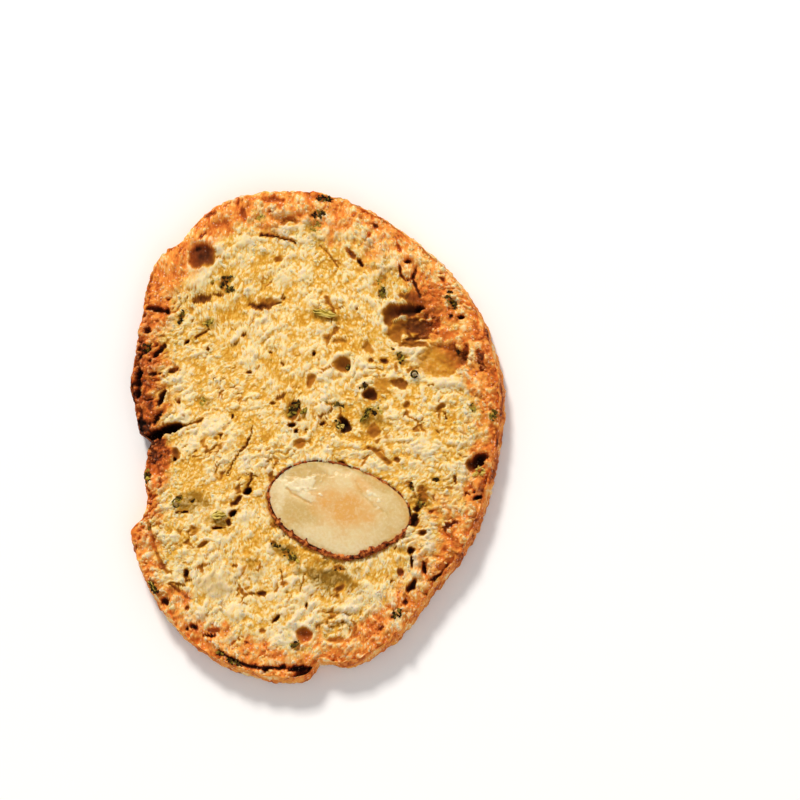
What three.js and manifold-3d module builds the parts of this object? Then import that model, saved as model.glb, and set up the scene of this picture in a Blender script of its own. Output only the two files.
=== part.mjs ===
// A thin, twice-baked savoury cracker slice with an almond cut lengthwise in its face.
// Millimetres. The slice lies on its back face: X runs across it, Y along it and Z up
// through its thickness, and the origin is on the back face, under the slice's middle.

import * as THREE from 'three';
import { mergeVertices } from 'three/addons/utils/BufferGeometryUtils.js';
import { ImprovedNoise } from 'three/addons/math/ImprovedNoise.js';
import Module from 'manifold-3d';

const wasm = await Module();
wasm.setup();

// ---------------------------------------------------------------- the slice

const THICKNESS = 5.2;
const SLICE_GRID = 50; // squares across the cut face

// The widest outline, anticlockwise from the right-hand side.
const SLICE_OUTLINE = [
  [26.6, 1.5], [26.6, 7.2], [24.3, 15.4], [19.9, 22.5], [14.2, 27.9], [7.6, 32.3], [1.9, 34.5],
  [-4.7, 35.2], [-11.4, 34.3], [-15.2, 32.6], [-17.4, 30.7], [-19.4, 28.2], [-22.9, 25.6],
  [-24.7, 20.2], [-25.1, 17.6], [-26.2, 12.2], [-26.8, 7.2], [-26.2, 3.8], [-25.5, 0.6],
  [-24.0, -0.9], [-24.4, -2.4], [-24.9, -5.9], [-24.5, -9.6], [-25.2, -11.8], [-26.8, -13.6],
  [-25.6, -18.7], [-21.8, -25.9], [-16.6, -31.0], [-10.9, -33.9], [-4.7, -35.2], [-1.5, -34.9],
  [-0.5, -33.9], [0.3, -32.7], [4.7, -33.1], [11.9, -28.7], [17.1, -22.0], [21.8, -15.9],
  [24.6, -8.8],
];

// The wall from the cut face down: share of the height, and how far in from the outline.
// It leans out towards the back, most on the lower right and least on the upper left.
const SLICE_WALL = [[1, 0.75], [0.72, 0.35], [0.36, 0.05], [0.1, 0.0], [0, 0.2]];
const LEAN_TOWARDS = THREE.MathUtils.degToRad(-50);
const LEAN_MEAN = 0.6;
const FACE_EDGE_FALL = 0.55; // the toasted edge of the cut face is rounded down by this
const FACE_EDGE_WIDTH = 1.4;
const RIM_CRAGS = 0.22; // unevenness of the outline
const CRAG_SIZE = 1.6;
const CRAG_LAYERS = 2.3; // how much the crags change down the wall
const RIM_MEMORY = 8; // inside the rim the notches fade from the grid by this power
const SMOOTHING = [-0.04, -0.02, 0, 0.02, 0.04]; // shares of the way round that are averaged

// Slow swells of the cut face: height, waves per radian across and along, and phase.
const SWELLS = [[0.2, 0.11, 0.05, 0.6], [0.17, -0.07, 0.13, 2.0], [0.12, 0.23, -0.19, 4.1]];

// Ridges of crumb run up to the right, as the dough was rolled.
const FLOW_TURN = THREE.MathUtils.degToRad(28);
const RIDGE_HEIGHT = 0.34;
const RIDGE_LENGTH = 5.5;
const RIDGE_WIDTH = 2.1;
const RIDGE_LAYER = 0.5; // which layer of the noise the ridges take
const CRUMB_HEIGHT = 0.26;
const CRUMB_SIZE = 1.35;
const CRUMB_LAYER = 3.5;

// Air holes and broken hollows: place, half length, half width, turn in degrees, depth.
const HOLLOWS = [
  { name: 'round pit at the upper left', at: [-16.4, 25.9], half: [2.0, 1.9], turn: 0, deep: 1.8 },
  { name: 'slit above it', at: [-14.6, 29.9], half: [1.7, 0.8], turn: 35, deep: 1.0 },
  { name: 'hollow in the top rim', at: [-6.1, 33.2], half: [1.5, 0.8], turn: 5, deep: 1.1 },
  { name: 'wedge left of the middle', at: [-15.2, 19.6], half: [2.1, 0.9], turn: 18, deep: 1.2 },
  { name: 'long shallow crack', at: [-7.3, 18.5], half: [2.4, 0.8], turn: 6, deep: 1.0 },
  { name: 'upper crevice in the left rim', at: [-23.2, 18.1], half: [2.0, 0.8], turn: -12, deep: 1.5 },
  { name: 'middle crevice in the left rim', at: [-23.2, 12.2], half: [1.6, 1.1], turn: 50, deep: 1.4 },
  { name: 'lower crevice in the left rim', at: [-22.6, 5.2], half: [1.5, 0.9], turn: 55, deep: 1.4 },
  { name: 'slot in the upper right', at: [5.6, 25.5], half: [2.2, 0.8], turn: -43, deep: 1.3 },
  { name: 'crevice in the upper right rim', at: [13.2, 23.9], half: [1.9, 0.9], turn: -40, deep: 1.4 },
  { name: 'dark end of the broken cavity', at: [12.5, 17.6], half: [3.0, 1.5], turn: -6, deep: 2.7 },
  { name: 'lower hollow of the cavity', at: [15.0, 15.0], half: [2.6, 1.7], turn: -25, deep: 2.3 },
  { name: 'smooth facet under the cavity', at: [18.4, 10.4], half: [3.9, 2.8], turn: 12, deep: 1.4 },
  { name: 'round hole above the middle', at: [3.6, 10.3], half: [1.3, 1.3], turn: 0, deep: 1.5 },
  { name: 'round hole right of the middle', at: [7.4, 5.9], half: [1.3, 1.1], turn: 20, deep: 1.4 },
  { name: 'deep hole at the middle', at: [3.6, 1.8], half: [1.4, 1.3], turn: 0, deep: 1.7 },
  { name: 'groove above the almond', at: [9.5, -2.9], half: [2.1, 0.8], turn: -35, deep: 0.9 },
  { name: 'hole in the right rim', at: [23.1, -3.8], half: [1.5, 1.2], turn: 40, deep: 2.2 },
  { name: 'crevice right of the almond', at: [15.2, -8.3], half: [1.6, 0.8], turn: -60, deep: 1.1 },
  { name: 'dark hole left of the almond', at: [-10.2, -8.3], half: [1.7, 0.8], turn: 50, deep: 1.5 },
  { name: 'long crevice in the lower right', at: [16.9, -19.4], half: [2.3, 0.8], turn: -40, deep: 1.3 },
  { name: 'lower crevice beside it', at: [13.6, -21.9], half: [1.7, 0.8], turn: 60, deep: 1.2 },
  { name: 'pit near the lower rim', at: [-1.7, -28.6], half: [1.3, 1.2], turn: 0, deep: 1.3 },
  { name: 'pit in the lower left rim', at: [-16.6, -28.0], half: [1.8, 0.8], turn: -30, deep: 1.1 },
  { name: 'broken ledge in the bottom rim', at: [-2.6, -33.6], half: [2.7, 0.9], turn: 4, deep: 1.9 },
  { name: 'gash in the left rim', at: [-23.6, 0.4], half: [4.9, 1.2], turn: 14, deep: 3.9 },
];

// Flakes of green herb, baked into the face: place, length, width, turn, depth below it.
const HERB_THICKNESS = 0.7;
const FLAKE_SUNK = 0.25;
const HERB_FLAKES = [
  { at: [-13.1, 22.1], size: [3.2, 2.4], turn: 60, below: 0 },
  { at: [-3.5, 3.6], size: [3.4, 2.7], turn: 35, below: 0.1 },
  { at: [8.4, 2.8], size: [3.2, 2.4], turn: 25, below: 0 },
  { at: [7.0, 6.8], size: [1.6, 1.0], turn: 10, below: 0.3 },
  { at: [3.2, 4.1], size: [2.6, 0.8], turn: -8, below: 0 },
  { at: [1.4, 17.2], size: [3.4, 1.5], turn: -18, below: 0 },
  { at: [9.5, 20.4], size: [2.2, 1.4], turn: 70, below: 0 },
  { at: [12.0, 11.4], size: [1.8, 1.0], turn: -65, below: 0 },
  { at: [19.6, 19.4], size: [2.6, 1.2], turn: -60, below: 0.1 },
  { at: [22.5, 3.7], size: [1.5, 1.3], turn: 40, below: 0 },
  { at: [17.1, -6.5], size: [1.9, 1.2], turn: -10, below: 0 },
  { at: [23.2, -5.8], size: [2.4, 1.8], turn: 75, below: 0.3 },
  { at: [3.4, -19.6], size: [2.0, 1.1], turn: 0, below: 0 },
  { at: [-4.5, -17.0], size: [5.6, 1.8], turn: -37, below: 0 },
  { at: [11.4, -25.7], size: [2.3, 1.3], turn: 30, below: 0 },
  { at: [-2.9, -30.0], size: [2.2, 1.7], turn: 0, below: 0 },
  { at: [-11.6, -32.2], size: [2.6, 1.1], turn: -22, below: 0.1 },
  { at: [-22.6, -21.9], size: [2.8, 1.1], turn: -62, below: 0 },
  { at: [-14.0, -12.0], size: [2.8, 2.2], turn: 20, below: 0 },
  { at: [-19.0, -9.4], size: [3.6, 1.9], turn: 8, below: 0 },
  { at: [-16.2, 5.0], size: [1.6, 1.5], turn: 0, below: 0 },
  { at: [-15.6, 16.3], size: [2.2, 1.5], turn: 30, below: 0 },
  { at: [-19.0, 17.2], size: [2.6, 1.0], turn: 75, below: 0 },
  { at: [-8.4, 31.4], size: [1.6, 1.2], turn: 0, below: 0 },
  { at: [0.1, 30.4], size: [2.0, 1.6], turn: 50, below: 0 },
  { at: [-11.7, -25.1], size: [2.8, 2.7], turn: 0, below: 0 },
];

// --------------------------------------------------------------- the almond

const ALMOND_CENTRE = [3.3, -10.7];
const ALMOND_TURN = THREE.MathUtils.degToRad(-13);

// The outer edge of the skin, anticlockwise from the pointed end.
const ALMOND_OUTLINE = [
  [10.3, 0.5], [9.4, 3.0], [6.5, 4.9], [2.2, 6.2], [-2.2, 6.5], [-6.6, 5.5], [-9.5, 3.2],
  [-10.6, 0.1], [-8.6, -3.5], [-5.0, -5.5], [-1.2, -6.5], [2.7, -6.7], [6.9, -4.3], [9.8, -1.4],
];
const SKIN_THICKNESS = 0.5;
const SEAT_GAP = 0.25; // clearance on both sides of the skin
const SEAT_OVERSHOOT = 2; // the seat's cut runs past both faces
const ALMOND_STEPS = 56; // points round the almond
const BACK_SHARE = 0.88; // the almond tapers to this share at the back face
const SKIN_TOP = 5.25;
const SKIN_RAGGED = 0.3;
const SKIN_WRINKLES = [9, 23]; // coarse and fine folds round the skin
const SKIN_TOP_BAND = 1;
const KERNEL_GRID = 16;
const KERNEL_TOP = 5.35;
const KERNEL_DOME = 0.25;
const DOME_SHOULDER = 3; // the dome levels off this far inside the edge
const KERNEL_WALL = [[1, 0.3], [0.9, 0], [0, 0]];
const BACK_LIFT = 0.1; // the almond ends just short of the back face
// A broken ledge in the kernel's face.
const CHIP = { at: [-5.2, 2.6], half: [3.4, 1.3], turn: 28, deep: 0.45, steepness: 2 };

// ------------------------------------------------------------------ helpers

const noise = new ImprovedNoise();

// A closed curve through the points of an outline.
function closedCurve(points) {
  const corners = points.map(([x, y]) => new THREE.Vector3(x, y, 0));
  return new THREE.CatmullRomCurve3(corners, true, 'centripetal');
}

// The same outline, moved outwards along its normals, as evenly spaced points.
function offsetOutline(curve, steps, outwards) {
  const moved = [];
  for (let i = 0; i < steps; i += 1) {
    const point = curve.getPointAt(i / steps);
    const along = curve.getTangentAt(i / steps);
    moved.push(new THREE.Vector2(point.x + along.y * outwards, point.y - along.x * outwards));
  }
  return moved;
}

// Where a square's point lies round its middle: share of the way round, and out to the edge.
function squareToRound(u, v) {
  const out = Math.max(Math.abs(u), Math.abs(v));
  if (out === 0) return { round: 0, out };
  const eighth = 1 / 8;
  if (Math.abs(u) >= Math.abs(v)) {
    const start = u > 0 ? 0 : 0.5;
    return { round: (start + (v / u) * eighth + 1) % 1, out };
  }
  const start = v > 0 ? 0.25 : 0.75;
  return { round: start - (u / v) * eighth, out };
}

// How far a place lies inside an oval, as a share: 1 in the middle, 0 at its edge and beyond.
function insideOval(x, y, oval) {
  const turn = THREE.MathUtils.degToRad(oval.turn);
  const dx = x - oval.at[0];
  const dy = y - oval.at[1];
  const along = (dx * Math.cos(turn) + dy * Math.sin(turn)) / oval.half[0];
  const across = (dy * Math.cos(turn) - dx * Math.sin(turn)) / oval.half[1];
  return Math.max(0, 1 - Math.hypot(along, across));
}

// A closed pad: an uneven gridded top, a wall that follows the outline, and a flat base.
function padGeometry({ outlineAt, coreAt, heightAt, grid, wall, baseZ }) {
  const positions = [];
  const faces = [];
  const across = grid + 1;
  for (let j = 0; j <= grid; j += 1) {
    for (let i = 0; i <= grid; i += 1) {
      const { round, out } = squareToRound((2 * i) / grid - 1, (2 * j) / grid - 1);
      const edge = outlineAt(round, wall[0][1]);
      const { x, y } = coreAt(round).lerp(edge, out ** RIM_MEMORY).multiplyScalar(out);
      positions.push(x, y, heightAt(x, y, (1 - out) * edge.length()));
    }
  }
  for (let j = 0; j < grid; j += 1) {
    for (let i = 0; i < grid; i += 1) {
      const a = j * across + i;
      const c = a + across + 1;
      faces.push(a, a + 1, c, a, c, a + across);
    }
  }
  addWallAndBase({ positions, faces, ring: rimOfGrid(grid), outlineAt, wall, baseZ });
  const geometry = new THREE.BufferGeometry();
  geometry.setAttribute('position', new THREE.Float32BufferAttribute(positions, 3));
  geometry.setIndex(faces);
  return geometry;
}

// The grid's edge points, anticlockwise, each with its square coordinates.
function rimOfGrid(grid) {
  const ring = [];
  for (let k = 0; k < grid; k += 1) ring.push([k, 0]);
  for (let k = 0; k < grid; k += 1) ring.push([grid, k]);
  for (let k = 0; k < grid; k += 1) ring.push([grid - k, grid]);
  for (let k = 0; k < grid; k += 1) ring.push([0, grid - k]);
  return ring.map(([i, j]) => ({
    index: j * (grid + 1) + i,
    round: squareToRound((2 * i) / grid - 1, (2 * j) / grid - 1).round,
  }));
}

// Rows of the wall below the top's edge, and the flat base that closes them.
function addWallAndBase({ positions, faces, ring, outlineAt, wall, baseZ }) {
  const count = ring.length;
  let upper = ring.map(({ index }) => index);
  const topZ = upper.map((index) => positions[index * 3 + 2]);
  for (const [share, inset] of wall.slice(1)) {
    const lower = ring.map(({ round }, k) => {
      const edge = outlineAt(round, inset, share);
      positions.push(edge.x, edge.y, baseZ + (topZ[k] - baseZ) * share);
      return positions.length / 3 - 1;
    });
    for (let k = 0; k < count; k += 1) {
      const next = (k + 1) % count;
      faces.push(upper[k], lower[k], lower[next], upper[k], lower[next], upper[next]);
    }
    upper = lower;
  }
  const base = upper.map((index) => new THREE.Vector2(positions[index * 3], positions[index * 3 + 1]));
  for (const [a, b, c] of THREE.ShapeUtils.triangulateShape(base, [])) {
    faces.push(upper[c], upper[b], upper[a]);
  }
}

// A solid for cutting and joining, from a closed geometry.
function toSolid(geometry) {
  const bare = geometry.clone();
  bare.deleteAttribute('normal');
  bare.deleteAttribute('uv');
  const merged = mergeVertices(bare);
  return new wasm.Manifold(new wasm.Mesh({
    numProp: 3,
    vertProperties: new Float32Array(merged.attributes.position.array),
    triVerts: new Uint32Array(merged.index.array),
  }));
}

// A geometry again, from a solid.
function toGeometry(solid) {
  const mesh = solid.getMesh();
  const geometry = new THREE.BufferGeometry();
  geometry.setAttribute('position', new THREE.Float32BufferAttribute(mesh.vertProperties, 3));
  geometry.setIndex(Array.from(mesh.triVerts));
  geometry.computeVertexNormals();
  return geometry;
}

// -------------------------------------------------------- shapes of the slice

const sliceCurve = closedCurve(SLICE_OUTLINE);

// A point of the slice's rim, moved in by the inset, with small crags.
function sliceRim(round, inset, share = 1) {
  const point = sliceCurve.getPointAt(round);
  const crag = RIM_CRAGS * noise.noise(point.x / CRAG_SIZE, point.y / CRAG_SIZE, share * CRAG_LAYERS);
  const towards = Math.cos(Math.atan2(point.y, point.x) - LEAN_TOWARDS);
  const lean = Math.min(1, LEAN_MEAN * (1 + towards));
  const reach = point.length();
  return new THREE.Vector2(point.x, point.y).multiplyScalar((reach - inset * lean + crag) / reach);
}

// The rim without its notches, which the inner part of the cut face's grid follows.
function smoothRim(round) {
  const mean = new THREE.Vector2();
  for (const step of SMOOTHING) {
    const point = sliceCurve.getPointAt((round + step + 1) % 1);
    mean.add(new THREE.Vector2(point.x, point.y).divideScalar(SMOOTHING.length));
  }
  return mean;
}

// The height of the cut face before the hollows are broken out of it.
function faceHeight(x, y, fromRim = FACE_EDGE_WIDTH) {
  const along = x * Math.cos(FLOW_TURN) + y * Math.sin(FLOW_TURN);
  const across = y * Math.cos(FLOW_TURN) - x * Math.sin(FLOW_TURN);
  let z = THICKNESS;
  for (const [height, waveX, waveY, phase] of SWELLS) z += height * Math.sin(waveX * x + waveY * y + phase);
  z += RIDGE_HEIGHT * noise.noise(along / RIDGE_LENGTH, across / RIDGE_WIDTH, RIDGE_LAYER);
  z += CRUMB_HEIGHT * noise.noise(x / CRUMB_SIZE, y / CRUMB_SIZE, CRUMB_LAYER);
  const near = Math.max(0, 1 - fromRim / FACE_EDGE_WIDTH);
  return z - FACE_EDGE_FALL * near * near;
}

// An oval hollow, centred on the cut face.
function hollowSolid({ at, half, turn, deep }) {
  const geometry = new THREE.IcosahedronGeometry(1, 1);
  geometry.scale(half[0], half[1], deep);
  geometry.rotateZ(THREE.MathUtils.degToRad(turn));
  geometry.translate(at[0], at[1], faceHeight(at[0], at[1]));
  return toSolid(geometry);
}

// A flake of herb, its lower part sunk in the crumb.
function flakeSolid({ at, size, turn, below }) {
  const geometry = new THREE.IcosahedronGeometry(1, 0);
  geometry.scale(size[0] / 2, size[1] / 2, HERB_THICKNESS);
  geometry.rotateZ(THREE.MathUtils.degToRad(turn));
  geometry.translate(at[0], at[1], faceHeight(at[0], at[1]) - below - FLAKE_SUNK);
  return toSolid(geometry);
}

// ------------------------------------------------------- shapes of the almond

const almondCurve = closedCurve(ALMOND_OUTLINE);

// The almond narrows towards the back face.
function taper(geometry) {
  const place = geometry.attributes.position;
  for (let i = 0; i < place.count; i += 1) {
    const share = BACK_SHARE + (1 - BACK_SHARE) * (place.getZ(i) / THICKNESS);
    place.setXY(i, place.getX(i) * share, place.getY(i) * share);
  }
  return geometry;
}

// The hole in the crumb that the almond sits in.
function seatSolid(placing) {
  const shape = new THREE.Shape(offsetOutline(almondCurve, ALMOND_STEPS, SEAT_GAP));
  const depth = THICKNESS + 2 * SEAT_OVERSHOOT;
  const geometry = new THREE.ExtrudeGeometry(shape, { depth, steps: 1, bevelEnabled: false });
  geometry.translate(0, 0, -SEAT_OVERSHOOT);
  return toSolid(taper(geometry).applyMatrix4(placing));
}

// The papery skin: a thin ring through the slice, with a ragged, wrinkled top.
function skinGeometry() {
  const shape = new THREE.Shape(offsetOutline(almondCurve, ALMOND_STEPS, 0));
  shape.holes.push(new THREE.Path(offsetOutline(almondCurve, ALMOND_STEPS, -SKIN_THICKNESS)));
  const depth = SKIN_TOP - BACK_LIFT;
  const geometry = new THREE.ExtrudeGeometry(shape, { depth, steps: 2, bevelEnabled: false });
  geometry.translate(0, 0, BACK_LIFT);
  const place = geometry.attributes.position;
  for (let i = 0; i < place.count; i += 1) {
    if (place.getZ(i) < SKIN_TOP - SKIN_TOP_BAND) continue;
    const round = Math.atan2(place.getY(i), place.getX(i));
    const ragged = Math.sin(SKIN_WRINKLES[0] * round) + Math.cos(SKIN_WRINKLES[1] * round);
    place.setZ(i, SKIN_TOP + (SKIN_RAGGED / 2) * ragged);
  }
  return toGeometry(toSolid(taper(geometry)));
}

// The kernel's cut face: slightly domed, with a broken ledge near its blunt end.
function kernelHeight(x, y, fromEdge) {
  const dome = KERNEL_DOME * Math.min(1, fromEdge / DOME_SHOULDER);
  const chip = CHIP.deep * Math.min(1, CHIP.steepness * insideOval(x, y, CHIP));
  return KERNEL_TOP + dome - chip;
}

function kernelGeometry() {
  const gapInside = SKIN_THICKNESS + SEAT_GAP;
  const outlineAt = (round, inset) => {
    const point = almondCurve.getPointAt(round);
    const along = almondCurve.getTangentAt(round);
    const inwards = inset + gapInside;
    return new THREE.Vector2(point.x - along.y * inwards, point.y + along.x * inwards);
  };
  const geometry = padGeometry({
    outlineAt,
    coreAt: (round) => outlineAt(round, 0),
    heightAt: kernelHeight,
    grid: KERNEL_GRID,
    wall: KERNEL_WALL,
    baseZ: BACK_LIFT,
  });
  return toGeometry(toSolid(taper(geometry)));
}

// ----------------------------------------------------------------- the pieces

const crackerMaterial = new THREE.MeshStandardMaterial({ color: '#ebc378', roughness: 0.9, metalness: 0 });
const kernelMaterial = new THREE.MeshStandardMaterial({ color: '#e4bd80', roughness: 0.45, metalness: 0 });
const skinMaterial = new THREE.MeshStandardMaterial({ color: '#7c3b1d', roughness: 0.8, metalness: 0 });

function namedMesh(name, geometry, material) {
  const mesh = new THREE.Mesh(geometry, material);
  mesh.name = name;
  return mesh;
}

// The slice, with the almond's seat and the hollows cut out and the herb flakes joined on.
function crackerGeometry(almondPlacing) {
  let slice = toSolid(padGeometry({
    outlineAt: sliceRim,
    coreAt: smoothRim,
    heightAt: faceHeight,
    grid: SLICE_GRID,
    wall: SLICE_WALL,
    baseZ: 0,
  }));
  for (const hollow of HOLLOWS) slice = slice.subtract(hollowSolid(hollow));
  for (const flake of HERB_FLAKES) slice = slice.add(flakeSolid(flake));
  return toGeometry(slice.subtract(seatSolid(almondPlacing)));
}

const almond = new THREE.Group();
almond.position.set(ALMOND_CENTRE[0], ALMOND_CENTRE[1], 0);
almond.rotation.z = ALMOND_TURN;
almond.add(namedMesh('almond_kernel', kernelGeometry(), kernelMaterial));
almond.add(namedMesh('almond_skin', skinGeometry(), skinMaterial));
almond.updateMatrix();

const garlicCracker = new THREE.Group();
garlicCracker.add(namedMesh('cracker', crackerGeometry(almond.matrix), crackerMaterial));
garlicCracker.add(almond);

export default garlicCracker;
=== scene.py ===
"""A thin, twice-baked cracker slice: golden crumb, a toasted rim, herb flakes and a cut almond.

Shapes are worked out in millimetres and turned to metres when a piece is finished.
"""

import math
import random
from collections import namedtuple

import bmesh
import bpy
from mathutils import Matrix, Vector, noise


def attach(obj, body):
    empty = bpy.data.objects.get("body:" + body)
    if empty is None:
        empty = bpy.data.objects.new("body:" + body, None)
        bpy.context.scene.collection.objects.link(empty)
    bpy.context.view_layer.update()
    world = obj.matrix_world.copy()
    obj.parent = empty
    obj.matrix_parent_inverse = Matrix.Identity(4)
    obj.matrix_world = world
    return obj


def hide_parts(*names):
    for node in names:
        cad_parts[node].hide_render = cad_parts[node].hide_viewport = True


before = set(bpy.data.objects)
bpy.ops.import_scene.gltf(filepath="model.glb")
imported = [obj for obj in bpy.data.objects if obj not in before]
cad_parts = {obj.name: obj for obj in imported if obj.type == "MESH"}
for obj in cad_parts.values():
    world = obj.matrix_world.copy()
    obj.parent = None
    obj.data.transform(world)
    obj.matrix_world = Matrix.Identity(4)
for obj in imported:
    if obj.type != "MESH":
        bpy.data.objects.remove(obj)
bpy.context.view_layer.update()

bl_info = {
    "name": "Garlic cracker slice",
    "version": (1, 0, 0),
    "blender": (4, 5, 0),
    "location": "View3D > Sidebar > Cracker",
    "description": "Builds a baked cracker slice with an almond and herb flakes, and its studio",
    "category": "Add Mesh",
}

MM = 0.001
THICKNESS = 5.2  # mm, the cut face above the back face

# The widest outline in mm, anticlockwise from the right-hand side, as on the solid.
SLICE_OUTLINE = [
    (26.6, 1.5), (26.6, 7.2), (24.3, 15.4), (19.9, 22.5), (14.2, 27.9), (7.6, 32.3), (1.9, 34.5),
    (-4.7, 35.2), (-11.4, 34.3), (-15.2, 32.6), (-17.4, 30.7), (-19.4, 28.2), (-22.9, 25.6),
    (-24.7, 20.2), (-25.1, 17.6), (-26.2, 12.2), (-26.8, 7.2), (-26.2, 3.8), (-25.5, 0.6),
    (-24.0, -0.9), (-24.4, -2.4), (-24.9, -5.9), (-24.5, -9.6), (-25.2, -11.8), (-26.8, -13.6),
    (-25.6, -18.7), (-21.8, -25.9), (-16.6, -31.0), (-10.9, -33.9), (-4.7, -35.2), (-1.5, -34.9),
    (-0.5, -33.9), (0.3, -32.7), (4.7, -33.1), (11.9, -28.7), (17.1, -22.0), (21.8, -15.9),
    (24.6, -8.8),
]
# Share of the height, and how far in from the outline, down the wall.
SLICE_WALL = [(1, 0.75), (0.72, 0.35), (0.36, 0.05), (0.1, 0.0), (0, 0.2)]
# The wall draws in most where it faces this way, and by this share of it where it faces sideways.
LEAN_TOWARDS = math.radians(-50)
LEAN_MEAN = 0.6
# Rows down the wall, as shares of its height, and how far it starts below the cut face in mm.
WALL_ROWS = (0.92, 0.82, 0.7, 0.58, 0.46, 0.34, 0.22, 0.12)
WALL_DROP = 0.3
# Long swells of the cut face: height in mm, radians a mm along X and Y, and phase.
SWELLS = [(0.2, 0.11, 0.05, 0.6), (0.17, -0.07, 0.13, 2.0), (0.12, 0.23, -0.19, 4.1)]

ALMOND_CENTRE = (3.3, -10.7)
ALMOND_TURN = math.radians(-13)
ALMOND_OUTLINE = [
    (10.3, 0.5), (9.4, 3.0), (6.5, 4.9), (2.2, 6.2), (-2.2, 6.5), (-6.6, 5.5), (-9.5, 3.2),
    (-10.6, 0.1), (-8.6, -3.5), (-5.0, -5.5), (-1.2, -6.5), (2.7, -6.7), (6.9, -4.3), (9.8, -1.4),
]
BACK_SHARE = 0.88  # the almond tapers to this share at the back face
# Rows down the kernel: height in mm, and the share of its width that each keeps. The last one
# rounds the lower edge.
KERNEL_ROWS = [(4.9, 1.0), (3.4, 1.0), (1.6, 1.0), (0.35, 1.0), (0.12, 0.97)]
# Lines in the kernel's face, in mm from its centre: a short cleft, and a fine groove.
CLEFT = [(-8.0, 1.3), (-6.4, 0.5), (-4.1, -0.2)]
GROOVE = [(1.4, 4.4), (2.7, 2.6), (5.2, 1.5), (7.0, 0.8)]

# Section of the skin's ring: share of its width from outside in, and height in mm.
SKIN_SECTION = [(0.0, 0.15), (0.0, 2.6), (0.0, 4.6), (-0.1, 4.95), (0.05, 5.16), (0.35, 5.28),
                (0.65, 5.32), (0.95, 5.24), (1.1, 5.05), (1.0, 4.6), (1.0, 2.6), (1.0, 0.15)]
SKIN_STEPS = 560  # round the ring, fine enough for its torn edge
MEAN_SKIN = 0.5 * MM

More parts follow.
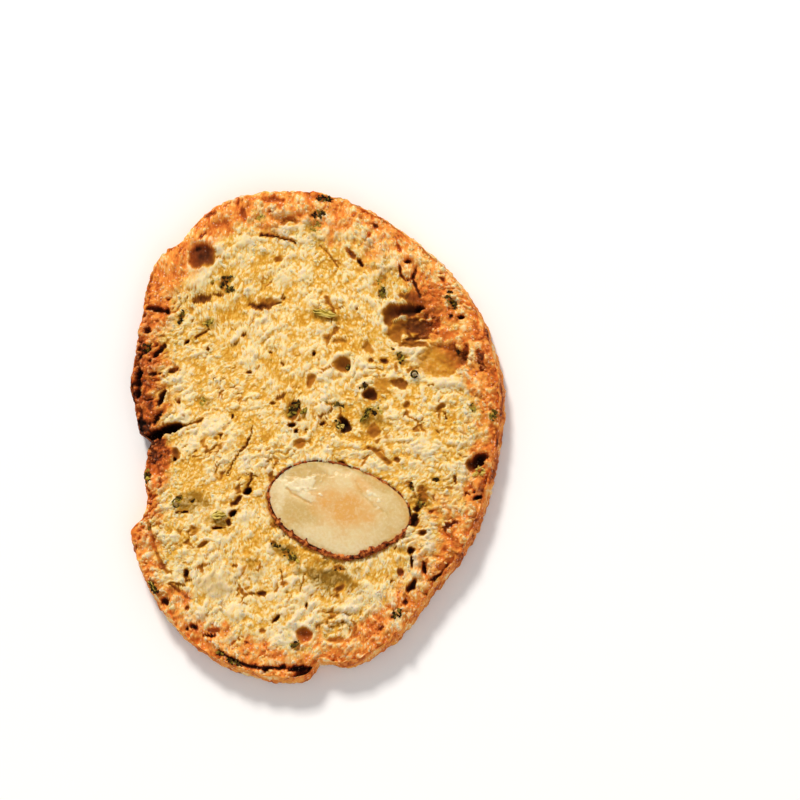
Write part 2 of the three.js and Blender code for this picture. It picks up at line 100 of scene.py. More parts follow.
# Air holes and broken hollows: place, half length and width, turn in degrees, depth, browning
# (which also paints shade, darker the deeper into the hole), and how ragged they are, from 0 for a
# smooth bubble to 1 for torn crumb.
Hollow = namedtuple("Hollow", "at half turn deep toast rag", defaults=(0.6,))
HOLLOWS = [
    # upper left
    Hollow((-16.5, 26.1), (2.0, 1.9), 0, 1.2, 0.84, 0.12),
    Hollow((-17.3, 25.0), (1.2, 1.1), 0, 1.1, 0.72, 0.15),
    Hollow((-17.1, 26.9), (0.8, 0.5), 0, 1.4, 0.92, 0.6),
    Hollow((-16.4, 28.9), (0.9, 0.3), 40, 0.6, 0.85),
    Hollow((-15.4, 31.9), (1.1, 0.45), 25, 0.6, 0.74),
    Hollow((-14.2, 30.3), (1.3, 0.55), 10, 0.5, 0.62),
    Hollow((-10.6, 32.0), (0.5, 1.1), 15, 0.6, 0.74),
    Hollow((-11.3, 33.6), (0.25, 0.9), 0, 0.6, 0.72),
    Hollow((-6.1, 33.9), (1.6, 0.5), 0, 0.7, 0.7),
    Hollow((-16.3, 19.7), (1.25, 0.7), 8, 0.7, 0.72, 0.9),
    Hollow((-14.3, 20.3), (1.1, 0.35), -5, 0.6, 0.62),
    Hollow((-8.2, 18.6), (1.7, 0.55), -8, 0.7, 0.76, 0.9),
    Hollow((-6.0, 18.9), (1.1, 0.25), 15, 0.6, 0.76),
    Hollow((-7.3, 19.3), (1.7, 0.5), 0, 0.4, 0.44),
    Hollow((-10.4, 14.5), (0.55, 0.3), 25, 0.6, 0.8),
    Hollow((-18.7, 13.5), (0.6, 0.28), 45, 1.0, 0.95),
    Hollow((-14.7, 8.2), (0.2, 0.2), 0, 0.5, 0.9),
    Hollow((-9.7, 9.1), (0.5, 0.22), 0, 0.7, 0.8),
    Hollow((-6.6, 11.9), (0.3, 0.22), 20, 0.7, 0.95),
    # left rim, from the top
    Hollow((-23.1, 18.3), (1.7, 0.5), 0, 1.3, 0.9, 0.8),
    Hollow((-21.6, 18.1), (0.6, 0.6), 0, 1.4, 0.95),
    Hollow((-21.4, 19.7), (0.4, 0.25), 0, 0.6, 0.85),
    Hollow((-23.0, 12.1), (1.8, 0.42), 46, 1.3, 0.96, 0.8),
    Hollow((-24.9, 12.3), (0.6, 0.9), 0, 0.9, 0.95, 1.0),
    Hollow((-24.4, 15.2), (0.5, 0.5), 0, 0.7, 0.9, 1.0),
    Hollow((-25.6, 8.7), (0.6, 1.8), 0, 2.2, 1.0),
    Hollow((-25.7, 6.2), (0.55, 0.8), 0, 1.8, 1.0),
    Hollow((-23.7, 8.9), (1.2, 0.35), 12, 0.9, 0.9, 1.0),
    Hollow((-20.8, 9.3), (1.0, 0.4), 25, 0.7, 0.74, 1.0),
    Hollow((-22.4, 5.3), (0.5, 1.3), -22, 1.4, 0.95, 0.8),
    Hollow((-24.2, 5.3), (1.0, 0.25), 0, 0.9, 0.9, 1.0),
    Hollow((-21.2, 1.1), (2.1, 0.8), 12, 3.8, 1.0, 0.3),
    Hollow((-23.1, 0.4), (1.6, 0.8), 14, 3.8, 1.0, 0.3),
    Hollow((-22.9, 2.7), (0.5, 1.1), -25, 1.2, 0.93, 0.8),
    Hollow((-20.3, -2.4), (0.6, 0.95), 10, 0.7, 0.68, 0.3),
    Hollow((-20.4, -3.3), (0.3, 0.4), 0, 1.2, 0.96),
    Hollow((-23.6, -4.7), (1.0, 1.2), 0, 0.5, 0.6, 0.3),
    Hollow((-23.9, -8.7), (0.6, 0.5), 0, 0.5, 0.72),
    Hollow((-22.0, -18.7), (1.3, 0.6), -45, 0.5, 0.7, 1.0),
    # upper right
    Hollow((5.0, 26.0), (1.2, 0.42), -48, 0.8, 0.72, 0.4),
    Hollow((6.1, 24.9), (1.0, 0.32), -55, 1.5, 0.95, 0.6),
    Hollow((8.4, 30.1), (0.5, 0.32), -10, 0.6, 0.86),
    Hollow((11.7, 27.0), (0.9, 0.3), -62, 0.5, 0.74),
    Hollow((12.9, 24.9), (0.7, 0.32), 10, 1.1, 0.94),
    Hollow((17.9, 22.4), (0.7, 0.3), -40, 0.6, 0.78),
    Hollow((13.9, 19.5), (2.2, 0.9), -20, 0.5, 0.7, 0.6),
    Hollow((11.1, 17.6), (1.7, 1.2), 0, 1.5, 0.74, 0.2),
    Hollow((13.0, 17.8), (2.0, 1.0), 4, 1.8, 0.88, 0.4),
    Hollow((10.4, 16.6), (0.8, 1.2), 8, 1.3, 0.7, 0.2),
    Hollow((14.5, 18.0), (0.8, 0.7), 0, 2.3, 0.98, 0.6),
    Hollow((14.4, 15.3), (2.9, 1.6), -12, 0.9, 0.76, 0.85),
    Hollow((16.0, 16.0), (1.5, 1.3), 0, 0.9, 0.76, 1.0),
    Hollow((11.5, 14.6), (1.0, 1.8), 15, 0.7, 0.52, 0.9),
    Hollow((12.5, 15.4), (1.7, 1.2), -30, 0.6, 0.56, 0.5),
    Hollow((18.9, 17.2), (2.1, 1.6), 0, 0.1, 0.5, 1.0),
    Hollow((16.3, 19.2), (3.4, 2.6), -45, 0.1, 0.54, 1.0),
    Hollow((15.9, 17.4), (1.8, 1.3), 0, 0.2, 0.6, 1.0),
    Hollow((14.4, 13.8), (2.3, 0.3), 3, 0.7, 0.76, 0.9),
    Hollow((18.4, 14.4), (2.2, 1.0), -10, 0.1, 0.54, 1.0),
    Hollow((13.9, 13.0), (2.5, 0.5), 0, 0.5, 0.6, 0.6),
    Hollow((21.1, 11.4), (0.6, 1.9), -12, 1.1, 0.76, 0.7),
    Hollow((20.6, 16.9), (0.5, 0.42), 0, 1.4, 1.0),
    Hollow((19.2, 17.0), (0.4, 0.3), 0, 0.9, 0.95),
    Hollow((23.6, 10.9), (0.8, 1.4), 10, 0.6, 0.84, 1.0),
    # middle
    Hollow((3.7, 10.1), (1.3, 1.15), -30, 1.0, 0.64, 0.15),
    Hollow((4.5, 9.8), (0.45, 0.55), -30, 1.1, 0.84, 0.8),
    Hollow((3.3, 13.5), (1.2, 0.4), 0, 0.5, 0.4),
    Hollow((7.3, 12.6), (1.1, 0.6), -50, 0.6, 0.4, 0.9),
    Hollow((7.9, 10.7), (0.5, 0.4), 0, 0.6, 0.6),
    Hollow((9.6, 10.6), (0.65, 0.5), 20, 0.7, 0.8),
    Hollow((12.1, 7.4), (1.3, 0.8), -20, 0.6, 0.64),
    Hollow((9.4, 7.2), (1.3, 1.2), 0, 0.2, 0.36, 0.45),
    Hollow((-0.9, 7.8), (1.1, 0.7), 60, 0.7, 0.5),
    Hollow((-0.4, 11.7), (0.25, 0.4), 0, 1.0, 1.0),
    Hollow((-5.1, 5.5), (0.8, 0.4), 30, 0.6, 0.66),
    Hollow((-6.4, 4.6), (0.5, 0.3), 0, 0.7, 0.62),
    Hollow((7.6, 5.8), (1.3, 0.95), -20, 1.3, 0.84, 0.4),
    Hollow((3.9, 1.4), (0.95, 1.4), 25, 1.9, 0.98, 0.4),
    Hollow((8.2, 0.5), (1.0, 1.1), 0, 0.6, 0.54, 0.4),
    Hollow((0.8, 1.6), (0.5, 0.3), 40, 0.7, 0.9),
    Hollow((-3.6, 1.4), (0.5, 0.3), 0, 0.9, 1.0),
    Hollow((-2.9, 0.6), (0.4, 0.45), 0, 0.9, 1.0),
    Hollow((-3.4, 3.4), (1.4, 1.1), 40, 0.7, 0.72, 0.5),
    Hollow((-2.3, -1.2), (0.95, 0.75), 0, 0.6, 0.5, 0.3),
    Hollow((-12.1, 2.7), (0.2, 0.4), 0, 0.8, 0.95),
    Hollow((13.0, 4.2), (0.7, 0.5), 50, 0.7, 0.5),
    Hollow((17.6, 3.8), (0.8, 0.5), 40, 0.7, 0.55),
    # round the almond
    Hollow((11.6, -3.6), (0.5, 0.4), 0, 0.7, 0.7),
    Hollow((3.6, -3.9), (0.6, 0.4), 0, 0.7, 0.82),
    Hollow((23.2, -3.6), (1.5, 0.95), 24, 2.6, 0.98, 0.3),
    Hollow((22.2, -4.5), (0.8, 1.1), 10, 1.0, 0.76, 0.2),
    Hollow((23.1, -8.9), (0.8, 0.45), 20, 1.8, 1.0),
    Hollow((19.8, -6.6), (0.3, 0.9), 0, 0.6, 0.74),
    Hollow((13.6, -7.5), (0.4, 0.6), 30, 0.8, 0.9, 1.0),
    Hollow((15.0, -9.0), (1.0, 1.3), 0, 0.5, 0.56, 1.0),
    Hollow((14.4, -10.6), (0.5, 0.45), 0, 1.1, 0.96),
    Hollow((13.9, -12.4), (0.7, 1.1), 0, 1.5, 0.97),
    Hollow((15.1, -14.0), (0.7, 0.4), 0, 0.7, 0.78),
    Hollow((16.4, -11.0), (0.4, 0.4), 0, 0.6, 0.7),
    Hollow((19.1, -12.9), (1.0, 0.6), 30, 0.6, 0.82, 1.0),
    Hollow((-10.0, -8.0), (0.9, 0.6), 40, 2.2, 1.0, 0.5),
    Hollow((-11.3, -9.3), (1.2, 0.4), 42, 0.8, 0.84),
    Hollow((-12.0, -11.1), (0.7, 0.45), 60, 1.6, 1.0),
    Hollow((-12.6, -12.3), (0.4, 0.5), 0, 0.7, 0.88),
    Hollow((-14.0, -13.2), (1.0, 0.28), 0, 0.9, 0.93),
    Hollow((-19.1, -10.9), (1.0, 0.3), 8, 0.9, 0.97),
    Hollow((-16.3, -15.5), (1.0, 0.35), 32, 0.6, 0.6),
    # lower part
    Hollow((-18.7, -19.7), (0.42, 0.62), 0, 1.2, 0.97),
    Hollow((-19.9, -21.2), (1.1, 0.25), -15, 0.5, 0.6),
    Hollow((-21.7, -23.7), (0.65, 0.5), -60, 1.2, 0.98),
    Hollow((-18.6, -24.6), (0.4, 0.3), 0, 0.7, 0.76),
    Hollow((-17.6, -27.3), (0.8, 0.55), -30, 1.2, 0.9, 0.2),
    Hollow((-18.6, -27.6), (0.3, 0.25), 0, 1.1, 1.0),
    Hollow((-15.2, -28.6), (1.0, 0.35), -5, 1.3, 1.0),
    Hollow((-14.9, -27.9), (1.1, 0.5), 0, 0.6, 0.7),
    Hollow((-10.0, -29.6), (0.6, 0.32), -20, 0.6, 0.82),
    Hollow((-11.2, -29.2), (0.35, 0.2), -10, 0.7, 0.8),
    Hollow((-7.9, -22.6), (0.8, 0.42), 10, 0.6, 0.84),
    Hollow((-9.4, -22.6), (0.7, 0.25), 0, 0.5, 0.6),
    Hollow((-5.7, -26.1), (0.8, 0.28), 40, 1.0, 0.9),
    Hollow((-1.4, -24.3), (0.22, 0.45), 0, 0.9, 0.93),
    Hollow((-7.7, -28.0), (0.6, 0.35), 0, 0.6, 0.6),
    Hollow((-1.7, -28.5), (1.2, 1.1), 0, 0.9, 0.7, 0.2),
    Hollow((3.0, -29.2), (1.6, 0.5), -5, 0.5, 0.5),
    Hollow((5.6, -28.6), (0.8, 0.4), 20, 0.5, 0.6),
    Hollow((2.1, -26.1), (1.1, 0.26), -5, 0.5, 0.3),
    Hollow((-11.7, -18.6), (0.6, 0.3), 0, 0.6, 0.64),
    Hollow((3.2, -21.9), (1.0, 0.4), 25, 0.5, 0.7),
    Hollow((13.4, -16.6), (0.6, 0.6), 0, 1.3, 0.97),
    Hollow((13.6, -18.0), (0.28, 0.8), 5, 1.0, 0.93),
    Hollow((12.1, -19.7), (0.6, 0.9), 0, 0.7, 0.78),
    Hollow((15.4, -19.1), (0.4, 0.95), 12, 1.4, 0.97),
    Hollow((17.4, -20.3), (1.7, 0.4), 25, 1.2, 0.92),
    Hollow((18.5, -18.8), (0.4, 0.9), -30, 0.6, 0.84),
    Hollow((13.6, -21.6), (0.6, 1.2), -38, 1.4, 0.98),
    Hollow((12.7, -23.9), (0.6, 0.45), 0, 0.9, 0.9),
    Hollow((9.2, -27.6), (0.7, 0.3), 30, 0.6, 0.84),
    Hollow((-2.7, -33.3), (2.6, 0.55), 5, 2.0, 1.0),
    Hollow((-1.7, -34.0), (1.7, 0.9), 0, 1.4, 0.9, 0.9),
    Hollow((-7.3, -33.4), (0.9, 0.3), 0, 1.0, 0.98),
]

# Flat faces where a bubble's wall slopes off to one side: place, half length and width, turn,
# the way down in degrees, depth at the shallow and at the deep side, browning, to which painted
# shade is added towards the deep side.
Slope = namedtuple("Slope", "at half turn down shallow deep toast")
SLOPES = [Slope((17.9, 10.7), (3.7, 2.6), 8, 28, 0.35, 1.9, 0.26)]

# Thin cracks: from, to, half width, depth, browning, which is partly painted shade in the crack.
Crack = namedtuple("Crack", "start end half_width deep toast")
CRACKS = [
    Crack((-8.1, 28.9), (-5.4, 28.5), 0.16, 0.8, 0.85),
    Crack((-5.4, 28.5), (-3.2, 27.8), 0.14, 0.8, 0.7),
    Crack((-9.3, 1.4), (-9.6, -0.4), 0.1, 0.6, 0.56),
    Crack((-9.6, -0.4), (-10.8, -2.2), 0.13, 0.7, 0.66),
    Crack((-10.8, -2.2), (-11.8, -3.6), 0.11, 0.6, 0.6),
    Crack((-11.8, -3.6), (-12.9, -5.4), 0.1, 0.6, 0.6),
    Crack((-17.6, 14.0), (-15.5, 15.3), 0.14, 0.6, 0.62),
    Crack((0.4, 27.3), (1.6, 26.2), 0.12, 0.5, 0.45),
    Crack((1.6, 26.2), (3.0, 24.2), 0.12, 0.5, 0.5),
    Crack((-19.1, 1.4), (-16.2, 2.4), 0.12, 0.5, 0.55),
    Crack((-9.2, -5.6), (-9.8, -7.2), 0.14, 0.7, 0.7),
    Crack((11.9, 24.3), (12.0, 23.0), 0.14, 0.8, 0.8),
    Crack((12.0, 23.0), (12.8, 22.1), 0.14, 0.8, 0.8),
    Crack((12.8, 22.1), (13.8, 22.3), 0.14, 0.8, 0.8),
    Crack((13.8, 22.3), (14.2, 23.7), 0.15, 0.8, 0.84),
    Crack((14.0, 21.9), (14.9, 19.6), 0.18, 0.8, 0.86),
    Crack((7.3, -1.8), (8.4, -2.2), 0.16, 0.5, 0.6),
    Crack((8.4, -2.2), (10.4, -4.1), 0.26, 0.5, 0.5),
    Crack((-2.3, -22.2), (-1.6, -19.9), 0.1, 0.5, 0.5),
    Crack((-5.1, -19.3), (-4.6, -21.6), 0.1, 0.5, 0.5),
    Crack((-24.2, -12.2), (-23.7, -14.0), 0.16, 0.6, 0.6),
    Crack((-23.7, -14.0), (-23.0, -16.6), 0.16, 0.5, 0.55),
    Crack((-23.0, -16.6), (-21.4, -19.5), 0.18, 0.5, 0.5),
    Crack((-21.0, -21.2), (-18.3, -23.3), 0.2, 0.5, 0.6),
    Crack((-13.9, -30.9), (-12.0, -32.0), 0.2, 0.9, 0.92),
    Crack((-12.0, -32.0), (-9.9, -32.9), 0.22, 0.9, 0.95),
    Crack((-9.9, -32.9), (-7.0, -33.3), 0.22, 0.9, 0.92),
    Crack((-7.0, -33.3), (-4.6, -33.1), 0.24, 0.9, 0.97),
    Crack((0.2, -25.2), (5.6, -25.6), 0.13, 0.35, 0.26),
    Crack((0.0, -27.0), (4.2, -26.7), 0.13, 0.35, 0.3),
]

# Raised forms: place, half length and width, turn, height, and how smooth they are.
Swelling = namedtuple("Swelling", "at half turn high calm")
SWELLINGS = [
    Swelling((-14.8, -0.9), (4.4, 3.0), 25, 0.25, 0.35),
    Swelling((-11.7, -25.1), (1.5, 1.4), 0, 0.45, 0.45),
    Swelling((-14.6, -21.3), (3.2, 1.7), 12, 0.1, 0.45),
    Swelling((18.2, 7.5), (3.2, 0.8), 6, 0.4, 0.9),
    Swelling((14.9, 11.7), (1.7, 0.9), 35, 0.5, 0.5),
    Swelling((-17.2, 22.2), (1.8, 1.6), 10, 0.3, 0.9),
    Swelling((-10.8, 28.0), (1.4, 0.9), 20, 0.3, 0.8),
    Swelling((3.6, 11.6), (1.5, 0.45), 12, 0.35, 0.7),
    Swelling((-22.0, 17.0), (1.6, 0.5), 0, 0.3, 0.2),
    Swelling((13.1, 23.4), (0.8, 0.7), 0, 0.4, 0.2),
    Swelling((17.0, -18.6), (1.2, 1.1), 0, 0.5, 0.2),
    Swelling((14.4, -19.6), (0.8, 0.8), 0, 0.4, 0.2),
    Swelling((14.2, -16.9), (1.9, 0.5), 25, 0.3, 0.2),
    Swelling((3.4, -24.6), (2.6, 0.5), -3, 0.35, 0.5),
    Swelling((3.0, -26.3), (2.4, 0.45), 0, 0.3, 0.5),
    Swelling((-24.3, 3.4), (1.2, 1.6), 0, 0.4, 0.2),
    Swelling((-24.1, -14.5), (0.6, 2.6), 8, 0.3, 0.3),
    Swelling((-14.0, -11.2), (1.5, 0.9), 5, 0.3, 0.8),
    Swelling((23.1, -7.3), (0.8, 1.1), 0, 1.1, 0.9),
    Swelling((11.8, 16.7), (1.6, 0.32), 20, 1.1, 0.1),
    Swelling((3.0, 2.0), (0.5, 0.45), 0, 0.9, 0.2),
    Swelling((3.4, 1.0), (0.45, 0.5), 0, 1.0, 0.2),
]

# Crumbled herb: place, half length and width, turn, and tone from black-brown 0 to yellow 1.
Herb = namedtuple("Herb", "at half turn tone")
HERBS = [
    Herb((-13.1, 22.0), (1.15, 0.75), 70, 0.05),
    Herb((-12.6, 20.9), (0.7, 0.4), 0, 0.2),
    Herb((-15.0, 22.0), (0.25, 0.25), 0, 0.2),
    Herb((-3.1, 4.0), (1.2, 0.7), 60, 0.12),
    Herb((1.0, 34.1), (1.5, 0.35), -8, 0.05),
    Herb((0.2, 31.8), (1.1, 0.5), 0, 0.1),
    Herb((-0.2, 30.0), (0.9, 0.7), 50, 0.55),
    Herb((-8.2, 31.3), (0.8, 0.45), 10, 0.75),
    Herb((-19.5, 17.1), (1.1, 0.35), 78, 0.15),
    Herb((-15.6, 16.3), (0.9, 0.45), 20, 0.45),
    Herb((-24.6, 12.6), (0.7, 0.6), 60, 0.12),
    Herb((-16.4, 5.1), (0.5, 0.7), 0, 0.6),
    Herb((9.4, 20.4), (0.9, 0.5), 80, 0.2),
    Herb((9.2, 22.2), (1.0, 0.5), 30, 0.55),
    Herb((12.0, 11.0), (0.45, 1.0), 8, 0.3),
    Herb((10.9, 12.3), (0.3, 0.25), 0, 0.05),
    Herb((19.4, 18.9), (1.3, 0.45), -58, 0.22),
    Herb((19.1, 20.4), (0.5, 0.3), 0, 0.1),
    Herb((25.3, 2.7), (0.5, 0.9), 0, 0.35),
    Herb((22.4, 3.9), (0.4, 0.6), 0, 0.25),
    Herb((17.1, -6.5), (0.6, 0.35), -10, 0.12),
    Herb((23.2, -5.3), (0.9, 0.7), 20, 0.85),
    Herb((13.6, -7.5), (0.4, 0.7), 30, 0.12),
    Herb((15.1, -9.6), (0.6, 0.9), 0, 0.35),
    Herb((3.4, -19.1), (0.9, 0.45), -5, 0.05),
    Herb((-5.9, -15.6), (1.0, 0.3), -35, 0.05),
    Herb((-3.9, -17.2), (1.6, 0.6), -40, 0.35),
    Herb((11.4, -25.6), (0.9, 0.6), 25, 0.05),
    Herb((-3.0, -30.0), (0.9, 0.6), 10, 0.3),
    Herb((-11.8, -32.4), (1.2, 0.45), -25, 0.1),
    Herb((-13.8, -31.1), (0.6, 0.35), -20, 0.15),
    Herb((-23.2, -22.0), (1.2, 0.4), -52, 0.18),
    Herb((-24.3, -5.6), (0.35, 1.3), 0, 0.3),
    Herb((-14.2, -11.8), (0.6, 0.5), 0, 0.3),
    Herb((-17.8, -9.4), (0.3, 0.2), 0, 0.0),
    Herb((6.7, 6.9), (0.8, 0.4), 10, 0.15),
    Herb((4.5, 9.7), (0.4, 0.55), -30, 0.12),
    Herb((3.2, 1.5), (0.5, 0.9), 25, 0.1),
    Herb((3.3, 1.2), (0.45, 0.8), 25, 1.0),
    Herb((8.1, 3.0), (0.6, 0.35), 20, 0.1),
    Herb((-1.9, 3.3), (0.5, 0.35), 0, 0.45),
    Herb((2.7, 4.4), (1.4, 0.25), -6, 0.4),
    Herb((20.3, 11.9), (0.3, 0.2), 0, 0.1),
    Herb((-19.6, -9.0), (0.5, 0.5), 0, 0.35),
]

# Whole pieces of leaf: place, half length and width, turn, height above the crumb, tone.
Leaf = namedtuple("Leaf", "at half turn high tone")
LEAVES = [
    Leaf((-3.8, 3.3), (1.0, 0.75), 55, 0.0, 0.3),
    Leaf((1.2, 17.4), (1.7, 0.5), -12, 0.25, 0.85),
    Leaf((-13.9, -11.4), (1.1, 0.55), 5, 0.3, 0.9),
    Leaf((-24.0, -13.3), (0.15, 1.2), 12, 0.2, 0.35),
    Leaf((-23.5, -21.5), (0.9, 0.28), -55, 0.2, 0.3),
    Leaf((6.8, 2.4), (0.9, 0.35), 45, 0.2, 0.45),
]

# Curled strips of leaf: place, radius, start and sweep in degrees, half thickness, tone.
CURL_LIFT = 0.32  # mm above the crumb
Curl = namedtuple("Curl", "at radius start sweep half tone")
CURLS = [
    Curl((8.3, 2.9), 1.05, -30, 200, 0.24, 0.72),
    Curl((7.6, 3.2), 0.5, 60, 210, 0.16, 0.25),
    Curl((14.1, 8.6), 0.45, 0, 330, 0.16, 0.12),
    Curl((-20.0, -9.7), 0.55, 30, 290, 0.12, 0.3),
]

# Yellow-olive stains where herb has coloured the crumb: place, half length and width, turn.
Stain = namedtuple("Stain", "at half turn strength")
STAINS = [
    Stain((1.6, -20.2), (4.6, 2.2), -12, 1.0),
    Stain((-14.2, -21.4), (3.2, 1.8), 10, 0.45),
    Stain((-8.6, -19.3), (2.2, 1.6), 0, 0.4),
    Stain((-14.0, -12.0), (1.6, 1.4), 0, 0.6),
    Stain((-17.9, -9.5), (3.0, 1.4), 5, 0.8),
    Stain((8.2, 2.6), (2.2, 1.9), 0, 0.7),
    Stain((1.2, 17.2), (2.6, 1.2), -15, 0.6),
    Stain((9.6, 22.0), (2.0, 1.4), 60, 0.6),
    Stain((-16.2, 5.0), (0.9, 1.2), 0, 0.8),
    Stain((-15.4, 16.3), (1.6, 1.0), 10, 0.7),
    Stain((-4.4, -16.8), (2.8, 1.3), -37, 0.8),
    Stain((-0.3, 29.8), (1.4, 1.8), 0, 0.6),
    Stain((-8.3, 31.2), (1.1, 0.9), 0, 0.5),
    Stain((-3.5, 3.5), (1.6, 1.3), 40, 0.5),
    Stain((11.9, 10.9), (0.8, 1.5), 0, 0.6),
    Stain((-13.0, 21.4), (1.4, 1.2), 0, 0.35),
    Stain((15.2, -8.9), (1.3, 1.9), 0, 0.7),
    Stain((17.9, 10.7), (3.4, 2.3), 8, 0.35),
    Stain((3.3, -2.6), (1.0, 1.0), 0, 0.3),
]

# Width of the toasted rim in mm, and its browning, by compass direction in degrees from +X.
RIM_WIDTHS = [(0, 4.4), (20, 5.6), (35, 7.6), (48, 10.4), (62, 8.0), (80, 6.6), (105, 5.6),
              (135, 6.2), (160, 5.2), (185, 4.6), (205, 4.2), (230, 4.2), (250, 5.2), (278, 5.2),
              (296, 7.0), (325, 6.2)]
RIM_DARKNESS = [(0, 0.34), (30, 0.28), (45, 0.17), (60, 0.06), (80, 0.22), (105, 0.25), (130, 0.24),
                (150, 0.4), (168, 0.64), (182, 0.72), (195, 0.36), (215, 0.2), (240, 0.25),
                (265, 0.22), (290, 0.24), (310, 0.26), (335, 0.3)]

# The torn ridges run this many degrees from +X, and bend by so many degrees a mm along X and Y.
FLOW_TURN = 22
FLOW_BEND = (-0.7, 0.3)
# Widths of the crumb's torn forms and spacing of its holes, in mm.
SHINGLE, FLAKE, LUMP, GRAIN = 2.1, 1.7, 0.8, 0.45
PORE_SPACING, PIT_SPACING, BACK_HOLE_SPACING = 4.6, 2.4, 6.5
CRUST_CRAG, WALL_CRAG = 1.9, 1.3

# Sizes of the materials' patterns, in mm.
CRUMB_GRAIN, CRUMB_GRIT, CRUMB_MOTTLE, SPECK = 0.5, 0.28, 3.4, 0.42
LEAF_MOTTLE, LEAF_CREASE = 0.5, 0.25
FLESH_CLOUD, FLESH_GRAIN = 2.6, 0.45
SKIN_WRINKLE, SKIN_WEAR = 0.6, 2.2
CARD_CLOUD = 60.0

# Lights: compass direction and height in degrees, distance and width in metres, watts, colour.
Lamp = namedtuple("Lamp", "name turn height distance size watts colour")
LAMPS = [
    Lamp("key", 108, 42, 2.0, 0.35, 32.0, "fffaf3"),
    Lamp("fill", -60, 60, 2.0, 1.5, 5.8, "fffaf5"),
]
SURROUND = 0.45  # strength of the pale room round the slice
SENSOR_WIDTH = 36.0  # mm


class CrackerSettings(bpy.types.PropertyGroup):
    """Sizes and colours of the slice."""

    face_grid: bpy.props.IntProperty(
        name="Face grid", description="Squares across the cut face", default=264, min=20)
    relief: bpy.props.FloatProperty(
        name="Relief", description="Scale of the torn crumb's height", default=1.0, min=0)
    grains: bpy.props.IntProperty(
        name="Grains", description="Loose grains of crumb on the face", default=4000, min=0)
    seed: bpy.props.IntProperty(name="Seed", description="Seed of every random draw", default=11)
    # The crumb is drawn from deep_colour in the valleys to pale_colour on the ridges: its own tone,
    # with painted shade low down and painted light high up.
    crumb_colour: bpy.props.StringProperty(
        name="Crumb", description="Golden crumb, sRGB", default="f2dca2")
    pale_colour: bpy.props.StringProperty(
        name="Pale crumb", description="Raised crumb, sRGB", default="e4d0ae")
    deep_colour: bpy.props.StringProperty(
        name="Deep crumb", description="Crumb in the valleys, sRGB", default="e7b24a")


class AlmondSettings(bpy.types.PropertyGroup):
    """Sizes and colours of the almond."""

    skin_thickness: bpy.props.FloatProperty(
        name="Skin", description="Mean thickness of the skin", default=MEAN_SKIN, unit="LENGTH")
    kernel_top: bpy.props.FloatProperty(
        name="Kernel height", description="Height of the kernel's cut face", default=5.16 * MM,
        unit="LENGTH")
    cream: bpy.props.StringProperty(
        name="Cream", description="Outer flesh, sRGB", default="e4c88f")
    amber: bpy.props.StringProperty(
        name="Amber", description="Middle of the kernel, sRGB", default="e0a652")
    skin_colour: bpy.props.StringProperty(
        name="Skin colour", description="Dry skin, sRGB", default="933e16")


class StudioSettings(bpy.types.PropertyGroup):
    """Camera and light."""

    view_turn: bpy.props.FloatProperty(
        name="View turn", description="Compass direction of the camera, from +X",
        default=math.radians(-50), subtype="ANGLE")
    view_height: bpy.props.FloatProperty(
        name="View height", description="Camera's angle above the horizon",
        default=math.radians(84), subtype="ANGLE")
    frame_width: bpy.props.FloatProperty(
        name="Frame width", description="Width of the picture at the cut face",
        default=114.3 * MM, unit="LENGTH")
    shift_right: bpy.props.FloatProperty(
        name="Shift right", description="How far right of the slice's middle the camera looks",
        default=11.95 * MM, unit="LENGTH")
    shift_up: bpy.props.FloatProperty(
        name="Shift up", description="How far above the slice's middle the camera looks",
        default=5.0 * MM, unit="LENGTH")
    view_distance: bpy.props.FloatProperty(
        name="Distance", description="Camera's distance from the cut face", default=0.8,
        unit="LENGTH")


# ------------------------------------------------------------------ small helpers


def smooth_step(low, high, value):
    """0 below low, 1 above high, and a smooth rise between; high may be the smaller."""
    share = min(1.0, max(0.0, (value - low) / (high - low)))
    return share * share * (3 - 2 * share)


def rounded_curve(points, steps_each=24):
    """A closed smooth curve through the points, as evenly spaced samples."""
    count = len(points)
    dense = []
    for k in range(count):
        a, b, c, d = (Vector(points[(k + j) % count]) for j in (-1, 0, 1, 2))
        ta = math.sqrt((b - a).length)
        tb = math.sqrt((c - b).length)
        tc = math.sqrt((d - c).length)
        for j in range(steps_each):
            t = tb * j / steps_each
            p1 = a.lerp(b, (t + ta) / ta)
            p2 = b.lerp(c, t / tb)
            p3 = c.lerp(d, (t - tb) / tc)
            q1 = p1.lerp(p2, (t + ta) / (ta + tb))
            q2 = p2.lerp(p3, t / (tb + tc))
            dense.append(q1.lerp(q2, t / tb))
    return evenly_spaced(dense)


def evenly_spaced(dense, count=1440):
    """Samples at equal steps along a closed run of points."""
    lengths = [0.0]
    for k, point in enumerate(dense):
        lengths.append(lengths[-1] + (dense[(k + 1) % len(dense)] - point).length)
    samples, k = [], 0
    for j in range(count):
        target = lengths[-1] * j / count
        while lengths[k + 1] < target:
            k += 1
        share = (target - lengths[k]) / (lengths[k + 1] - lengths[k])
        samples.append(dense[k].lerp(dense[(k + 1) % len(dense)], share))
    return samples


def sample(curve, share):
    """The point at a share of the way round a closed curve."""
    place = (share % 1.0) * len(curve)
    k = int(place)
    return curve[k % len(curve)].lerp(curve[(k + 1) % len(curve)], place - k)


def square_to_round(u, v):
    """Where a point of a square lies on a round: share of the way round, and out to the edge."""
    out = max(abs(u), abs(v))
    if out < 1e-9:
        return 0.0, 0.0
    if abs(u) >= abs(v):
        return ((0 if u > 0 else 0.5) + v / u / 8) % 1.0, out
    return ((0.25 if v > 0 else 0.75) - u / v / 8) % 1.0, out


def compass_table(pairs):
    """A value for each degree of the compass, read from (degrees, value) pairs."""
    table = []
    ring = [*pairs, (pairs[0][0] + 360, pairs[0][1])]
    for degree in range(360):
        for (low, first), (high, second) in zip(ring, ring[1:]):
            if low <= degree < high:
                table.append(first + (second - first) * smooth_step(low, high, degree))
    return table


def towards(table, x, y):
    """The value of a compass table in the direction of a place."""
    return table[int(math.degrees(math.atan2(y, x))) % 360]


